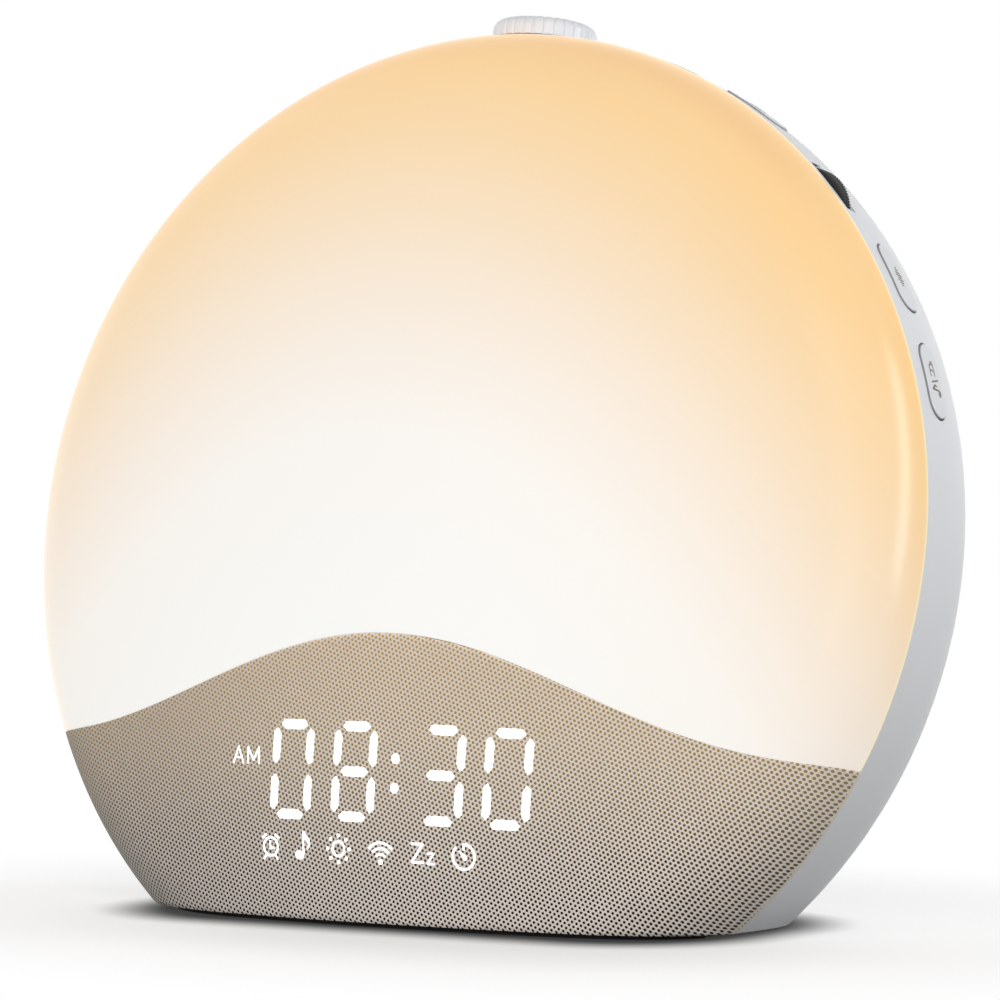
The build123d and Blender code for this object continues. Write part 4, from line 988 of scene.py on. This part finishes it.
def onButton(angle):
    # local x runs round the rim and local y towards the front; the top follows the casing's own
    # curve, a drafted side that closes to the back as a high power of the depth
    def onto(spots, lift):
        depth = buttons["depth"] - spots[:, 1]
        closing = np.sqrt(1 - (depth / buttons["back"]) ** buttons["bend"])
        radius = (buttons["rim"] - buttons["draft"] * depth) * closing + buttons["lift"] + lift
        turn = np.radians(angle) + spots[:, 0] / buttons["rim"]
        return place(radius * np.cos(turn), radius * np.sin(turn), -depth)
    return onto


def soundMark():
    # upright strokes of uneven height
    heights = (0.45, 1.1, 1.9, 1.2, 2.1, 1.5, 0.9, 0.4)
    spots = np.linspace(-1.9, 1.9, len(heights))
    return strokes([[(spot, -height / 2), (spot, height / 2)]
                    for spot, height in zip(spots, heights)], 0.3)


def cloudMark():
    # a cloud of three arcs over a level line, a slanted stroke and a note
    puffs = (((1.3, 0.55), 0.62, -60, 150), ((2.25, 0.35), 0.8, -35, 130),
             ((3.05, -0.05), 0.5, -110, 60))
    made = [ribbon(arc(*puff, 10), 0.32) for puff in puffs]
    made += strokes([[(1.0, -0.52), (2.9, -0.52)], [(0.25, -1.4), (-0.45, 1.4)]], 0.30)
    return made + noteMark((-2.0, 0.0), 0.66, 0.36)


def gearMark():
    # a ring with eight short teeth
    spokes = arc((0, 0), 1.5, 0, 360, 9)[:-1]
    teeth = [[(x * 0.8, y * 0.8), (x, y)] for x, y in spokes]
    return [ringMark((0, 0), 1.05, 0.3)] + strokes(teeth, 0.34)


buttonMarks = {
    "music": cloudMark(), "noise": soundMark(), "light": sunMark((0, 0), 0.62, 0.28),
    "alarm": alarmMark((0, 0), 0.72, 0.28), "timer": timerMark((0, 0), 0.72, 0.32),
    "set": gearMark(),
}
ink = plasticFinish("buttonInk", buttons["ink"], roughness=0.6, drift=0.2, scale=2000.0,
                    spread=0.05)
for name, marks in buttonMarks.items():
    mark = markPiece(name + "Mark", marks, onButton(buttons["angles"][name]), buttons["thick"])
    mark.data.materials.append(ink)
    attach(mark, name + "_key")
print("button marks made")


# finishes of the carried-over nodes, one for each of the record's slots

# painted shade on the narrow walls round each button: their facing, from the flat top to the wall,
# and the shade's tone
seam = {"facing": (0.86, 0.55), "tone": (0.33, 0.34, 0.36)}


def casingFinish(name, color):
    material = plasticFinish(name, color, roughness=0.46, drift=0.03, scale=1300.0, spread=0.05,
                             bump=0.000012)
    shader = material.node_tree.nodes["Principled BSDF"]
    shader.inputs["Specular IOR Level"].default_value = 0.12
    return material


def flatVector(tree, first, second):
    return node(tree, "CombineXYZ", {0: first, 1: second}).outputs[0]


def shadedButtonFinish(name, color):
    # the moulded white, with painted shade where the surface turns away from the disc's own outward
    # way
    material = casingFinish(name, color)
    tree = material.node_tree
    base = tree.nodes["Principled BSDF"].inputs["Base Color"]
    out = vectorMath(tree, "NORMALIZE", flatVector(tree, *discSpot(tree)[:2]))
    normal = node(tree, "NewGeometry").outputs["Normal"]
    facing = flatVector(tree, *(vectorMath(tree, "DOT_PRODUCT", normal, tuple(axis))
                                for axis in (acrossAxis, riseAxis)))
    # painted shade on the walls, which take the dark tone
    wall = fade(tree, vectorMath(tree, "DOT_PRODUCT", out, facing), *seam["facing"])
    wire(tree, blendColor(tree, wall, base.links[0].from_socket, seam["tone"]), base)
    return material


def lampChip(name, color, strength):
    # a lit chip that drifts towards a darker shade of its own colour
    return lampFinish(name, color, strength, tuple(part * 0.8 for part in color))


finishes = {
    "casing_white": casingFinish("casingWhite", (0.795, 0.80, 0.814)),
    "diffuser_opal": opalGlow,
    "cloth": knittedCloth,
    "dial_white": plasticFinish("dialBody", (0.74, 0.75, 0.78), 0.34),
    "button_white": shadedButtonFinish("buttonWhite", (0.77, 0.775, 0.79)),
    "wheel_black": plasticFinish("wheelBody", (0.012, 0.012, 0.013), 0.42),
    "frame_white": plasticFinish("innerWhite", (0.80, 0.80, 0.78), 0.5),
    "frame_dark": plasticFinish("innerDark", (0.05, 0.04, 0.035), 0.6),
    "board_green": boardFinish("boardGreen", (0.015, 0.13, 0.06), (0.03, 0.22, 0.10)),
    "board_white": boardFinish("boardWhite", (0.80, 0.80, 0.77), (0.70, 0.69, 0.64)),
    "flex_amber": boardFinish("flexAmber", (0.42, 0.18, 0.03), (0.60, 0.30, 0.08)),
    "chip_black": plasticFinish("chipBlack", (0.02, 0.02, 0.022), 0.5, drift=0.2, scale=2500.0),
    "lamp_warm": lampChip("lampWarm", (0.98, 0.66, 0.20), 0.6),
    "lamp_white": lampChip("lampWhite", (0.94, 0.95, 0.88), 0.6),
    "display_black": plasticFinish("displayBlack", (0.012, 0.012, 0.012), 0.55),
    "display_lit": lampChip("displayGuide", (0.98, 0.97, 0.94), 0.5),
    "steel": metalFinish("platedSteel", (0.60, 0.61, 0.63), 0.24),
    "shaft_metal": metalFinish("turnedShaft", (0.72, 0.72, 0.73), 0.22, (900.0, 60.0, 900.0)),
    "can_metal": metalFinish("drawnCan", (0.66, 0.67, 0.70), 0.30, (900.0, 900.0, 30.0)),
    "magnet_dark": plasticFinish("magnetDark", (0.05, 0.05, 0.055), 0.55, drift=0.3, scale=600.0),
    "cone_black": plasticFinish("conePaper", (0.03, 0.03, 0.032), 0.8, drift=0.3, scale=700.0,
                                spread=0.1, bump=0.00008),
    "surround_rubber": plasticFinish("surroundRubber", (0.02, 0.02, 0.02), 0.6),
    "foam_black": plasticFinish("gasketFoam", (0.03, 0.03, 0.03), 0.9, drift=0.3, scale=1800.0,
                                spread=0.05, bump=0.0001),
    "rubber_grey": plasticFinish("footRubber", (0.012, 0.012, 0.012), 0.85, drift=0.25,
                                 scale=1500.0, spread=0.1, bump=0.00005),
    "connector_white": plasticFinish("connectorNylon", (0.78, 0.75, 0.66), 0.45),
    "tongue_black": plasticFinish("tongueBlack", (0.015, 0.015, 0.015), 0.45),
}
for part in frame["record"]["subparts"]:
    item = nodes[part["node"]]
    if not item.material_slots:
        item.data.materials.append(None)
    for slot in item.material_slots:
        slot.material = finishes[part["material_slot"]]
print("finishes assigned")


# floor

def floorFinish():
    # matt floor that catches the shadow, with a painted shadow under and in front of the clock,
    # fading to plain white away from the clock where it is seen
    material, tree, shader = newMaterial("studioFloor")
    tree.nodes.remove(shader)
    seen = seenShare(tree)
    spot = objectSpot(tree)
    # distance to the clock's footprint, a rectangle with rounded corners
    wide, deep, corner = studio["foot"]
    side = vectorMath(tree, "ABSOLUTE", vectorMath(tree, "ADD", spot, studio["footShift"]))
    over = vectorMath(tree, "SUBTRACT", side, (wide, deep, 0.0))
    near = vectorMath(tree, "LENGTH", vectorMath(tree, "MAXIMUM", over, (0.0, 0.0, 0.0)))
    # painted contact shadow: dark under the footprint's edge, lifting outwards
    low, start, end = studio["contactShadow"]
    contactShadow = fade(tree, math(tree, "SUBTRACT", near, corner), start, end, low, 1.0)
    # distance in an ellipse's own units, for the soft painted shadow in front and for the white
    tint, across, along = studio["shadowPool"]
    shadowPool = fade(tree, shapedReach(tree, spot, studio["poolShift"], (1 / across, 1 / along, 0.0)),
                *studio["poolEdge"], tint, 1.0)
    away = shapedReach(tree, spot, studio["whiteShift"], studio["whiteShape"])
    shade = math(tree, "MULTIPLY", contactShadow, shadowPool)
    plain = fade(tree, seen, 0.0, 1.0, studio["floorBounce"], studio["floorSeen"])
    matt = node(tree, "BsdfDiffuse", {"Color": math(tree, "MULTIPLY", plain, shade)})
    lit = math(tree, "MULTIPLY", seen, math(tree, "MULTIPLY", shade, studio["floorGlow"]))
    own = node(tree, "Emission", {"Color": studio["glowTint"], "Strength": lit})
    both = node(tree, "AddShader", {0: matt.outputs[0], 1: own.outputs[0]})
    share = math(tree, "MULTIPLY", seen, fade(tree, away, *studio["whiteFrom"]))
    mixShaders(tree, share, both, node(tree, "Emission"),
               tree.nodes["Material Output"].inputs["Surface"])
    return material


def shapedReach(tree, spot, shift, shape):
    # distance from a moved middle, with each direction stretched by its own factor
    moved = vectorMath(tree, "ADD", spot, shift)
    return vectorMath(tree, "LENGTH", vectorMath(tree, "MULTIPLY", moved, shape))


half = studio["floorHalf"]
floorMesh = bpy.data.meshes.new("studioFloor")
floorMesh.from_pydata([(-half, -half, 0), (half, -half, 0), (half, half, 0), (-half, half, 0)], [],
                      [(0, 1, 2, 3)])
floor = bpy.data.objects.new("studioFloor", floorMesh)
bpy.context.scene.collection.objects.link(floor)
floor.data.materials.append(floorFinish())
print("floor laid")

bpy.context.view_layer.update()
